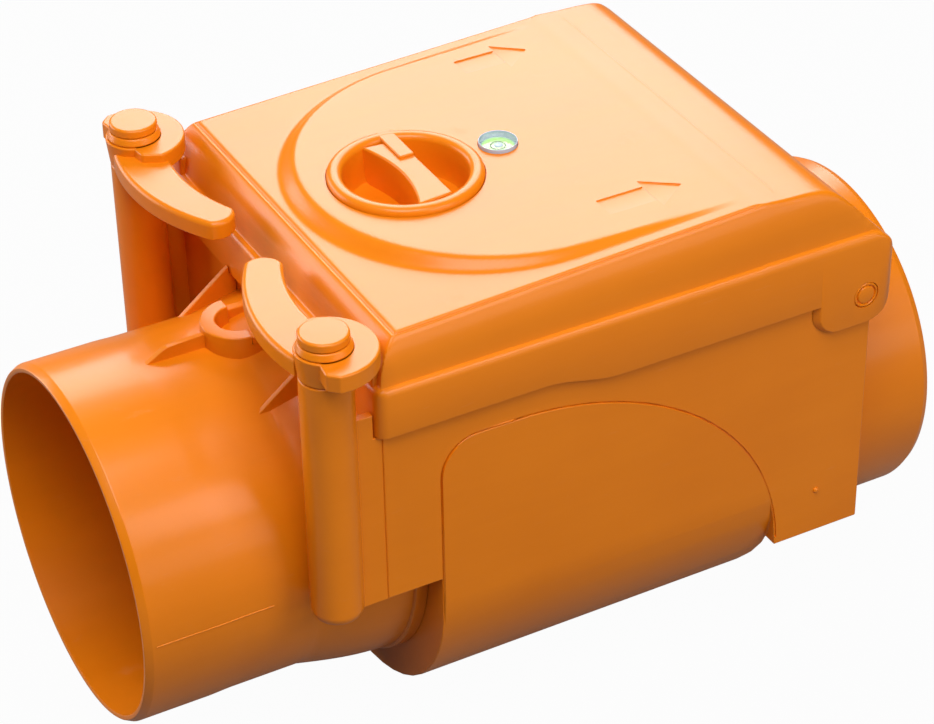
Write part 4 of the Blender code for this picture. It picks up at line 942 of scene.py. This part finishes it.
class ValveLooks(bpy.types.PropertyGroup):
    """Colours and small sizes of the valve's finish."""

    plastic: colour_setting("Plastic", "Colour of the orange mouldings", (0.83, 0.222, 0.004, 1.0))
    plastic_deep: colour_setting(
        "Deep plastic", "Colour of the orange in its flow marks", (0.78, 0.200, 0.003, 1.0))
    inner_plastic: colour_setting(
        "Inner plastic", "Colour of the seat and the flap", (0.68, 0.175, 0.004, 1.0))
    rubber: colour_setting("Rubber", "Colour of the seals", (0.02, 0.02, 0.022, 1.0))
    steel: colour_setting("Steel", "Colour of the screws and the flap's pin", (0.62, 0.63, 0.65, 1.0))
    level_green: colour_setting("Level liquid", "Colour of the level's liquid", (0.46, 0.92, 0.12, 1.0))
    floor: colour_setting("Floor", "Colour of the floor", (0.20, 0.20, 0.20, 1.0))
    edge: length_setting("Edge", "Radius of the housing's rounded edges", 0.0001, 0.0007)
    border: length_setting("Border", "How far the border lies below the lid's top", 0.0, 0.0003)
    groove: length_setting("Groove", "Depth of the line inside the border", 0.0, 0.0010)
    mark: length_setting("Mark", "How deep the flow arrows lie in the lid", 0.0001, 0.0007)


def finishes():
    """The materials, made on first use."""
    if "Orange plastic" not in bpy.data.materials:
        looks = bpy.context.scene.valve_looks
        moulded_plastic("Orange plastic", looks.plastic[:], looks.plastic_deep[:], 0.31, 0.10)
        deep = tuple(c * 0.9 for c in looks.inner_plastic[:3]) + (1.0,)
        moulded_plastic("Inner plastic", looks.inner_plastic[:], deep, 0.42)
        moulded_plastic("White plastic", (0.52, 0.60, 0.72, 1.0), (0.42, 0.50, 0.64, 1.0), 0.30)
        rubber("Black rubber", looks.rubber[:])
        steel("Stainless steel", looks.steel[:])
        level_liquid("Level liquid", looks.level_green[:])
        clear_lens("Clear lens", (0.85, 0.93, 0.95, 1.0))
    return bpy.data.materials


class VALVE_OT_stage(bpy.types.Operator):
    """Make the camera, the floor, the lamps and the pale surroundings"""

    bl_idname = "valve.stage"
    bl_label = "Stage"

    def execute(self, context):
        scene = context.scene
        looks = scene.valve_looks
        camera = linked("Camera", bpy.data.cameras.new("Camera"))
        camera.data.lens = CAMERA_LENS
        camera.data.sensor_width = CAMERA_SENSOR
        camera.data.clip_start = CAMERA_NEAR
        turn = Matrix((CAMERA_ACROSS, -CAMERA_DOWN, -CAMERA_AHEAD)).transposed().to_4x4()
        camera.matrix_world = Matrix.Translation(CAMERA_AT) @ turn
        scene.camera = camera

        floor = bpy.data.meshes.new("floor")
        corners = [(x * FLOOR_REACH, y * FLOOR_REACH, 0) for x, y in ((-1, -1), (1, -1), (1, 1), (-1, 1))]
        floor.from_pydata(corners, [], [(0, 1, 2, 3)])
        floor.materials.append(pale_floor("Pale floor", looks.floor[:]))
        ground = linked("floor", floor)
        ground.location.z = -FLOOR_DROP

        world = bpy.data.worlds.new("Surroundings")
        world.use_nodes = True
        tree = world.node_tree
        start = Socket(tree)
        camera_ray = start.node("ShaderNodeLightPath", out="Is Camera Ray")
        glossy_ray = start.node("ShaderNodeLightPath", out="Is Glossy Ray")
        background = tree.nodes["Background"]
        background.inputs["Color"].default_value = (1.0, 1.0, 1.0, 1.0)
        strength = camera_ray * SKY_SEEN + SKY_LIGHT - glossy_ray * SKY_LESS_IN_GLOSS
        tree.links.new(strength.end, background.inputs["Strength"])
        scene.world = world

        for name, at, towards, width, height, power in LAMPS:
            lamp = linked(name, bpy.data.lights.new(name, "AREA"))
            lamp.data.shape = "RECTANGLE"
            lamp.data.size = width
            lamp.data.size_y = height
            lamp.data.energy = power
            lamp.location = at
            lamp.rotation_mode = "QUATERNION"
            lamp.rotation_quaternion = (Vector(towards) - Vector(at)).to_track_quat("-Z", "Y")
        scene.view_settings.view_transform = "Standard"
        return {"FINISHED"}


class VALVE_OT_housing(bpy.types.Operator):
    """Make the housing with soft edges, its nub and the slit round each side panel"""

    bl_idname = "valve.housing"
    bl_label = "Housing"

    def execute(self, context):
        looks = context.scene.valve_looks
        orange = finishes()["Orange plastic"]
        body = softened("housing", looks.edge)
        outline = arch_line(0.0001) + arch_line(-0.0007)[::-1]
        slit = slab("slit", outline, "Y", -SIDE + 0.0006, -SIDE - 0.0030)
        combine(body, "DIFFERENCE", slit, mirrored(slit, "far slit"))
        profile = [(-SIDE - 0.0011, 0.0), (-SIDE - 0.0010, 0.0007), (-SIDE - 0.0005, 0.0013),
                   (-SIDE + 0.001, 0.0015), (-SIDE + 0.001, 0.0)]
        nub = turned("nub", profile, "Y", (NUB_X, 0.0, NUB_Z), 24)
        place(joined("housing_form", [body, nub]), "valve_body", orange, "orange_plastic", ["housing"])
        return {"FINISHED"}


class VALVE_OT_latch_posts(bpy.types.Operator):
    """Make the latch posts, their webs, the support ribs and the pipe collar"""

    bl_idname = "valve.latch_posts"
    bl_label = "Latch posts"

    def execute(self, context):
        looks = context.scene.valve_looks
        orange = finishes()["Orange plastic"]
        low = POST_LOW.z
        profile = [(low, 0.0), (low, POST_RADIUS - 0.0034), (low + 0.0016, POST_RADIUS - 0.0010),
                   (low + 0.0042, POST_RADIUS), (POST_TOP_Z - 0.0006, POST_RADIUS),
                   (POST_TOP_Z, POST_RADIUS - 0.0006), (POST_TOP_Z, 0.0)]
        post = turned("post", rounded(profile, 0.0012), "Z", (POST.x, -POST.y, 0.0), 72)
        outer = -SIDE + 0.0008
        edge = RIDGE_Z - 0.024
        outline = [(POST.x, AXIS_Z), (FRONT_X + 0.001, AXIS_Z), (FRONT_X + 0.001, edge),
                   (LID_X - 0.0006, edge), (LID_X - 0.0006, WEB_TOP_Z), (POST.x, WEB_TOP_Z)]
        web = slab("web", outline, "Y", outer + WEB_THICKNESS, outer, soft=0.0005)
        near = joined("latch_post_near_form", [post, web])
        far = mirrored(near, "latch_post_far_form")
        place(near, "valve_body", orange, "orange_plastic", ["latch_post_near"])
        place(far, "valve_body", orange, "orange_plastic", ["latch_post_far"])
        for word in ("near", "far"):
            rib = softened(f"support_rib_{word}", looks.edge * 0.6)
            place(rib, "valve_body", orange, "orange_plastic", [f"support_rib_{word}"])
        collar = softened("pipe_collar", looks.edge)
        place(collar, "valve_body", orange, "orange_plastic", ["pipe_collar"])
        return {"FINISHED"}


class VALVE_OT_spigots(bpy.types.Operator):
    """Make the two pipe ends with their lead-ins, step, flare and mould seam"""

    bl_idname = "valve.spigots"
    bl_label = "Pipe ends"

    def execute(self, context):
        orange = finishes()["Orange plastic"]
        mouth = INLET_LOW.x
        ring_start = INLET_HIGH.x - WELD_RING_WIDTH
        outer = [(mouth + 0.0004, BORE + 0.0004), (mouth, BORE + 0.0010), (mouth, PIPE_RADIUS - 0.0018),
                 (mouth + 0.0004, PIPE_RADIUS - 0.0014), (mouth + 0.0030, PIPE_RADIUS - 0.0001),
                 (mouth + 0.0036, PIPE_RADIUS), (STEP_AT - 0.0001, PIPE_RADIUS),
                 (STEP_AT + 0.0030, PIPE_RADIUS - 0.0001), (STEP_AT + 0.0070, PIPE_RADIUS - 0.0003),
                 (STEP_AT + STEP_LENGTH, SLIM), (FLARE_START, SLIM)]
        for i in range(1, 13):
            share = i / 12
            outer.append((FLARE_START + (ring_start - FLARE_START) * share,
                          SLIM + FLARE_RISE * math.sin(share * math.pi / 2)))
        outer += [(ring_start + 0.0002, WELD_RING - 0.0006), (ring_start + 0.0008, WELD_RING),
                  (INLET_HIGH.x, WELD_RING), (INLET_HIGH.x, BORE)]
        inlet = turned("inlet", outer, "X", (0.0, 0.0, AXIS_Z), 160)
        start = mouth + 0.040
        top = AXIS_Z + 0.0862
        edge = COLLAR_LOW.x + 0.0004
        rib = rounded_corners([(start, AXIS_Z + 0.079), (start + 0.0105, top - 0.001), (edge, top),
                               (edge, AXIS_Z + 0.078), (start, AXIS_Z + 0.078)], 0.0016)
        rib = slab("rib", rib, "Y", -0.0013, 0.0013, soft=0.0004, foot=0.0004)
        path = [(mouth + 0.005, PIPE_RADIUS), (STEP_AT, PIPE_RADIUS), (STEP_AT + STEP_LENGTH, SLIM),
                (FLARE_START - 0.02, SLIM)]
        path = [Vector((along, 0.0001 - radius, AXIS_Z)) for along, radius in path]
        seam = bead("seam", [path], SEAM_WIDTH, orange)
        piece = joined("inlet_spigot_form", [inlet, rib, seam])
        place(piece, "valve_body", orange, "orange_plastic", ["inlet_spigot"], angle=40.0)
        end = OUTLET_HIGH.x
        start = OUTLET_LOW.x
        profile = [(start, BORE), (start, BORE + 0.002), (REAR_X + 0.0003, BORE + 0.002),
                   (REAR_X + 0.0003, PIPE_RADIUS), (end - 0.0034, PIPE_RADIUS),
                   (end - 0.0030, PIPE_RADIUS - 0.0001), (end - 0.0003, PIPE_RADIUS - 0.0014),
                   (end, PIPE_RADIUS - 0.0018), (end, BORE + 0.0010), (end - 0.0004, BORE + 0.0004),
                   (end - 0.0010, BORE)]
        outlet = turned("outlet_spigot_form", profile, "X", (0.0, 0.0, OUTLET_Z), 160)
        place(outlet, "valve_body", orange, "orange_plastic", ["outlet_spigot"], angle=40.0)
        return {"FINISHED"}


class VALVE_OT_lid(bpy.types.Operator):
    """Make the lid with its shoulder, border, groove, field, ears and flow arrows"""

    bl_idname = "valve.lid"
    bl_label = "Lid"

    def execute(self, context):
        orange = finishes()["Orange plastic"]
        shell = lid_shell()
        knob_at = (KNOB_X, 0.0, 0.0)
        level_at = (LEVEL.x, LEVEL.y, 0.0)
        well = KNOB_CUP + 0.0004
        floor = KNOB_LOW.z - ROOM
        low = floor - 0.003
        above = LID_HIGH.z + 0.02
        pocket_low = CUP_LOW.z - ROOM
        bodies = (
            ("tube", low, KNOB_Z - 0.003, well + 0.003, knob_at, 64),
            ("boss", pocket_low - LID_SHELL, lid_top(LEVEL.x), LEVEL_BOSS, level_at, 48),
        )
        combine(shell, "UNION", *[plug(*sizes) for sizes in bodies])
        cuts = (
            ("well", floor, above, well, knob_at, 96),
            ("seat", KNOB_Z - ROOM, above, KNOB_SEAT, knob_at, 128),
            ("spindle", low - 0.01, above, SPINDLE_HOLE, knob_at, 32),
            ("groove", floor - 0.0013, above, RING_GROOVE, knob_at, 32),
            ("pocket", pocket_low, above, LEVEL_POCKET, level_at, 64),
        )
        combine(shell, "DIFFERENCE", *[plug(*sizes) for sizes in cuts])
        hole = plug("hole", -0.12, 0.12, PIN_HOLE, (HINGE.x, 0, HINGE.z), 64, "Y")
        combine(shell, "DIFFERENCE", hole)
        arrows = (flow_arrow("near arrow", *NEAR_ARROW), flow_arrow("far arrow", *FAR_ARROW))
        combine(shell, "DIFFERENCE", *arrows)
        first, last = LID_X + CATCH_START, LID_X + CATCH_END
        corners = [(first, -CATCH_OUT), (last, -CATCH_OUT), (last, -CATCH_IN), (first, -CATCH_IN)]
        catch = slab("catch", rounded_corners(corners, 0.0015), "Z", RIDGE_Z - 0.001, LEVER_LOW.z - 0.003,
                     soft=0.0008)
        lid = joined("lid_form", [shell, catch, mirrored(catch, "far catch")])
        place(lid, "lid", orange, "orange_plastic", ["lid"], angle=38.0, level=False)
        return {"FINISHED"}


class VALVE_OT_latches(bpy.types.Operator):
    """Make the two swing latches with their arms, sectors, washers and caps"""

    bl_idname = "valve.latches"
    bl_label = "Latches"

    def execute(self, context):
        orange = finishes()["Orange plastic"]
        low, high = LEVER_LOW.z, LEVER_HIGH.z
        hub = POST_RADIUS
        foot_out, foot_in = (-hub - 0.0006, hub / 3), (hub, hub * 0.6)
        tip_out, tip_in = (0.0010, ARM_REACH), (0.0150, ARM_REACH - 0.0076)
        outline = bowed(foot_out, tip_out, 0.0078, 32)
        outline += bowed(tip_out, tip_in, 0.0046, 14)[1:]
        outline += bowed(tip_in, foot_in, -0.0062, 28)[1:]
        outline = [(POST.x + x, -POST.y + y) for x, y in outline]
        arm = slab("arm", outline, "Z", low, low + ARM_HEIGHT, soft=0.0022, foot=0.0008)
        sector = arc(0, 0, SECTOR_RADIUS, -100, 80, 48)
        sector += [(-0.004, 0.0174), (-0.008, -0.0174)]
        sector = rounded_corners([(POST.x + x, -POST.y + y) for x, y in sector], 0.0012, 3)
        sector = slab("sector", sector, "Z", high - 0.008, high, soft=0.0010, foot=0.0006)
        hub = turned("hub", rounded([(low, 0.0), (low, hub), (high, hub + 0.0014), (high, 0.0)], 0.0008),
                     "Z", (POST.x, -POST.y, 0.0), 64)
        near = joined("latch_lever_near_form", [arm, sector, hub])
        far = mirrored(near, "latch_lever_far_form")
        place(near, "latch_near", orange, "orange_plastic", ["latch_lever_near"])
        place(far, "latch_far", orange, "orange_plastic", ["latch_lever_far"])
        centres = [(POST.x, -POST.y, 0.0), (POST.x, POST.y, 0.0)]
        low, high = WASHER_LOW.z, WASHER_HIGH.z
        ring = [(low, 0.0045), (low, 0.0116), (low + 0.0006, 0.0117), (high, 0.0105), (high, 0.0045)]
        washer = turned("washer", rounded(ring, 0.0008), "Z", (0, 0, 0), 64)
        washers = copies("latch_washers", washer, centres, orange)
        place(washers, "valve_body", orange, "orange_plastic", ["latch_washer_near", "latch_washer_far"])
        low, high = WASHER_HIGH.z + ROOM, BOLT_HIGH.z
        profile = [(BOLT_LOW.z, 0.0), (BOLT_LOW.z, 0.004), (low, 0.004), (low, 0.0100),
                   (low + 0.0003, CAP_RADIUS), (high - 0.0010, CAP_RADIUS), (high - 0.0005, 0.0102),
                   (high - 0.0001, 0.0097), (high, 0.0091), (high, 0.0)]
        cap = turned("cap", profile, "Z", (0, 0, 0), 64)
        caps = copies("latch_bolts", cap, centres, orange)
        place(caps, "valve_body", orange, "orange_plastic", ["latch_bolt_near", "latch_bolt_far"])
        return {"FINISHED"}


class VALVE_OT_knob(bpy.types.Operator):
    """Make the lock knob with its rim, finger pockets, grip bar and pointer"""

    bl_idname = "valve.knob"
    bl_label = "Lock knob"

    def execute(self, context):
        orange = finishes()["Orange plastic"]
        profile = [
            (-0.0165, 0.0), (-0.0165, 0.0262), (-0.0152, KNOB_CUP), (0.0, KNOB_CUP),
            (0.0, KNOB_RADIUS - 0.0003), (0.0004, KNOB_RADIUS), (0.0021, KNOB_RADIUS),
            (0.0031, 0.0334), (0.0039, 0.0329), (0.0044, 0.0322),
            (0.0047, 0.0313), (0.0048, 0.0303), (0.0047, 0.0293), (0.0044, 0.0284), (0.0039, 0.0277),
            (0.0031, 0.0272), (0.0021, 0.0269), (-0.0050, 0.0265), (-0.0108, 0.0261), (-0.0130, 0.0252),
            (-0.0139, 0.0232), (-0.0140, 0.0200), (-0.0140, 0.0),
        ]
        cup = turned("cup", [(KNOB_Z + z, r) for z, r in profile], "Z", (KNOB_X, 0.0, 0.0), 144)
        side = KNOB_X + GRIP_STRAIGHT
        outline = [(side, -GRIP_REACH * 0.935), (side, GRIP_REACH * 0.935)]
        for i in range(29):
            across = GRIP_REACH * (1 - 2 * i / 28)
            outline.append((KNOB_X - 0.0018 - 0.0056 * (across / GRIP_REACH) ** 2, across))
        bar = slab("bar", outline, "Z", KNOB_Z - 0.0142, KNOB_Z + 0.0034, soft=0.0010)
        corners = [(0.0022, 0.0095), (GRIP_STRAIGHT - 0.0002, 0.0095),
                   (GRIP_STRAIGHT - 0.0002, 0.0325), (0.0022, 0.0325)]
        tab = rounded_corners([(KNOB_X + x, y) for x, y in corners], 0.0008)
        tab = slab("tab", tab, "Z", KNOB_Z + 0.0002, KNOB_Z + 0.0047, soft=0.0006)
        spindle = plug("lock_spindle_form", SPINDLE_LOW.z, KNOB_Z - 0.0168, 0.0050, (KNOB_X, 0.0, 0.0), 48)
        place(spindle, "lock", finishes()["Inner plastic"], "orange_plastic", ["lock_spindle"])
        knob = joined("lock_knob_form", [cup, bar, tab])
        place(knob, "lock", orange, "orange_plastic", ["lock_knob"], angle=40.0)
        return {"FINISHED"}


class VALVE_OT_level(bpy.types.Operator):
    """Make the bubble level: cup, ring mark, liquid, bubble and lens"""

    bl_idname = "valve.level"
    bl_label = "Bubble level"

    def execute(self, context):
        stock = finishes()
        centre = (LEVEL.x, LEVEL.y, 0.0)
        low, high = CUP_LOW.z, CUP_HIGH.z
        inner = LEVEL_RADIUS - 0.0004
        profile = [(low, 0.0), (low, LEVEL_RADIUS), (high, LEVEL_RADIUS), (high, inner),
                   (low + 0.0012, inner), (low + 0.0012, 0.0)]
        cup = turned("level_cup_form", rounded(profile, 0.0003), "Z", centre, 72)
        place(cup, "lid", stock["White plastic"], "white_plastic", ["level_cup"])
        fill = inner - 0.0001
        profile = [(low + 0.0014, 0.0), (low + 0.0014, fill), (LENS_LOW.z - 0.0004, fill),
                   (LENS_LOW.z - 0.0002, fill - 0.0003), (LENS_LOW.z - 0.0002, 0.0)]
        vial = turned("level_vial_form", profile, "Z", centre, 72)
        place(vial, "lid", stock["Level liquid"], "level_liquid", ["level_vial"])
        top = LENS_HIGH.z
        profile = [(LENS_LOW.z, 0.0), (LENS_LOW.z, fill), (top - 0.0005, fill), (top - 0.0002, fill - 0.0007),
                   (top, 0.0)]
        lens = turned("level_lens_form", profile, "Z", centre, 72)
        place(lens, "lid", stock["Clear lens"], "clear_lens", ["level_lens"])
        rim = LENS_LOW.z + 0.0001
        ring = [(rim - 0.0001, 0.0030), (rim - 0.0001, 0.0034), (rim, 0.0034), (rim, 0.0030)]
        mark = turned("level_ring_mark", ring, "Z", centre, 48)
        place(mark, "lid", stock["Black rubber"], "black_rubber")
        profile = [(rim - 0.0006, 0.0), (rim - 0.0004, 0.0012), (rim - 0.0001, 0.0020),
                   (rim + 0.0001, 0.0017), (rim + 0.0002, 0.0)]
        bubble = turned("level_bubble", profile, "Z", (LEVEL.x + 0.0004, LEVEL.y + 0.0003, 0.0), 40)
        place(bubble, "lid", stock["White plastic"], "white_plastic")
        return {"FINISHED"}


class VALVE_OT_inner_pieces(bpy.types.Operator):
    """Finish the seat, the flap, the seals, the pins and the screws"""

    bl_idname = "valve.inner_pieces"
    bl_label = "Inner pieces"

    def execute(self, context):
        stock = finishes()
        repaint(stock["Inner plastic"], "seat_ring", "flap", "lock_cam")
        repaint(stock["Black rubber"], "seat_gasket", "lid_gasket", "flap_seal", "knob_o_ring")
        clips = ("flap_pin_clip_near", "flap_pin_clip_far")
        repaint(stock["Stainless steel"], "flap_hinge_pin", "cam_screw", *clips)
        low = -PIN_HIGH.y
        profile = [(low, 0.0), (low, 0.006), (LID_SIDE - 0.0004, 0.006), (LID_SIDE, 0.0056),
                   (LID_SIDE, 0.0051), (LID_SIDE - 0.0008, 0.0047), (LID_SIDE - 0.0008, 0.0043),
                   (LID_SIDE, 0.0039), (LID_SIDE + 0.0002, 0.0030), (LID_SIDE + 0.0003, 0.0)]
        far = turned("hinge_pin_far_form", profile, "Y", (HINGE.x, 0.0, HINGE.z), 56)
        near = mirrored(far, "hinge_pin_near_form")
        for word, pin in (("near", near), ("far", far)):
            place(pin, "valve_body", stock["Orange plastic"], "orange_plastic", [f"hinge_pin_{word}"])
        low, high = SCREW_LOW.x, SCREW_HIGH.x
        head = high - 0.0024
        profile = [(low, 0.0), (low + 0.0006, 0.0018), (head, 0.0018), (head, 0.0032),
                   (head + 0.0012, 0.0031), (head + 0.0021, 0.0023), (high, 0.0012),
                   (high - 0.0006, 0.0010), (high - 0.0006, 0.0)]
        screw = turned("screw", profile, "X", (0, 0, 0), 32)
        names = [f"seat_screw_{i}" for i in range(1, 5)]
        middles = [(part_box(name)[0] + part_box(name)[1]) / 2 for name in names]
        points = [(0.0, middle.y, middle.z) for middle in middles]
        screws = copies("seat_screws", screw, points, stock["Stainless steel"], (FULL_TURN, 0.0, 0.0))
        place(screws, "valve_body", stock["Stainless steel"], "stainless_steel", names)
        return {"FINISHED"}


class VALVE_PT_looks(bpy.types.Panel):
    """Steps of the valve's look, in the order they run"""

    bl_idname = "VALVE_PT_looks"
    bl_label = "Backwater Valve"
    bl_space_type = "VIEW_3D"
    bl_region_type = "UI"
    bl_category = "Valve"

    def draw(self, context):
        looks = context.scene.valve_looks
        for name in looks.__annotations__:
            self.layout.prop(looks, name)
        for step in STEPS:
            self.layout.operator(step.bl_idname)


STEPS = (
    VALVE_OT_stage,
    VALVE_OT_housing,
    VALVE_OT_latch_posts,
    VALVE_OT_spigots,
    VALVE_OT_lid,
    VALVE_OT_latches,
    VALVE_OT_knob,
    VALVE_OT_level,
    VALVE_OT_inner_pieces,
)


def register():
    """Add the classes and the scene's settings."""
    for item in (ValveLooks, *STEPS, VALVE_PT_looks):
        bpy.utils.register_class(item)
    bpy.types.Scene.valve_looks = PointerProperty(type=ValveLooks)


def unregister():
    """Take the classes and the settings away again."""
    del bpy.types.Scene.valve_looks
    for item in reversed((ValveLooks, *STEPS, VALVE_PT_looks)):
        bpy.utils.unregister_class(item)


def main():
    """Build every piece in order."""
    register()
    bpy.ops.valve.stage()
    bpy.ops.valve.housing()
    bpy.ops.valve.latch_posts()
    bpy.ops.valve.spigots()
    bpy.ops.valve.lid()
    bpy.ops.valve.latches()
    bpy.ops.valve.knob()
    bpy.ops.valve.level()
    bpy.ops.valve.inner_pieces()


if __name__ == "__main__":
    main()
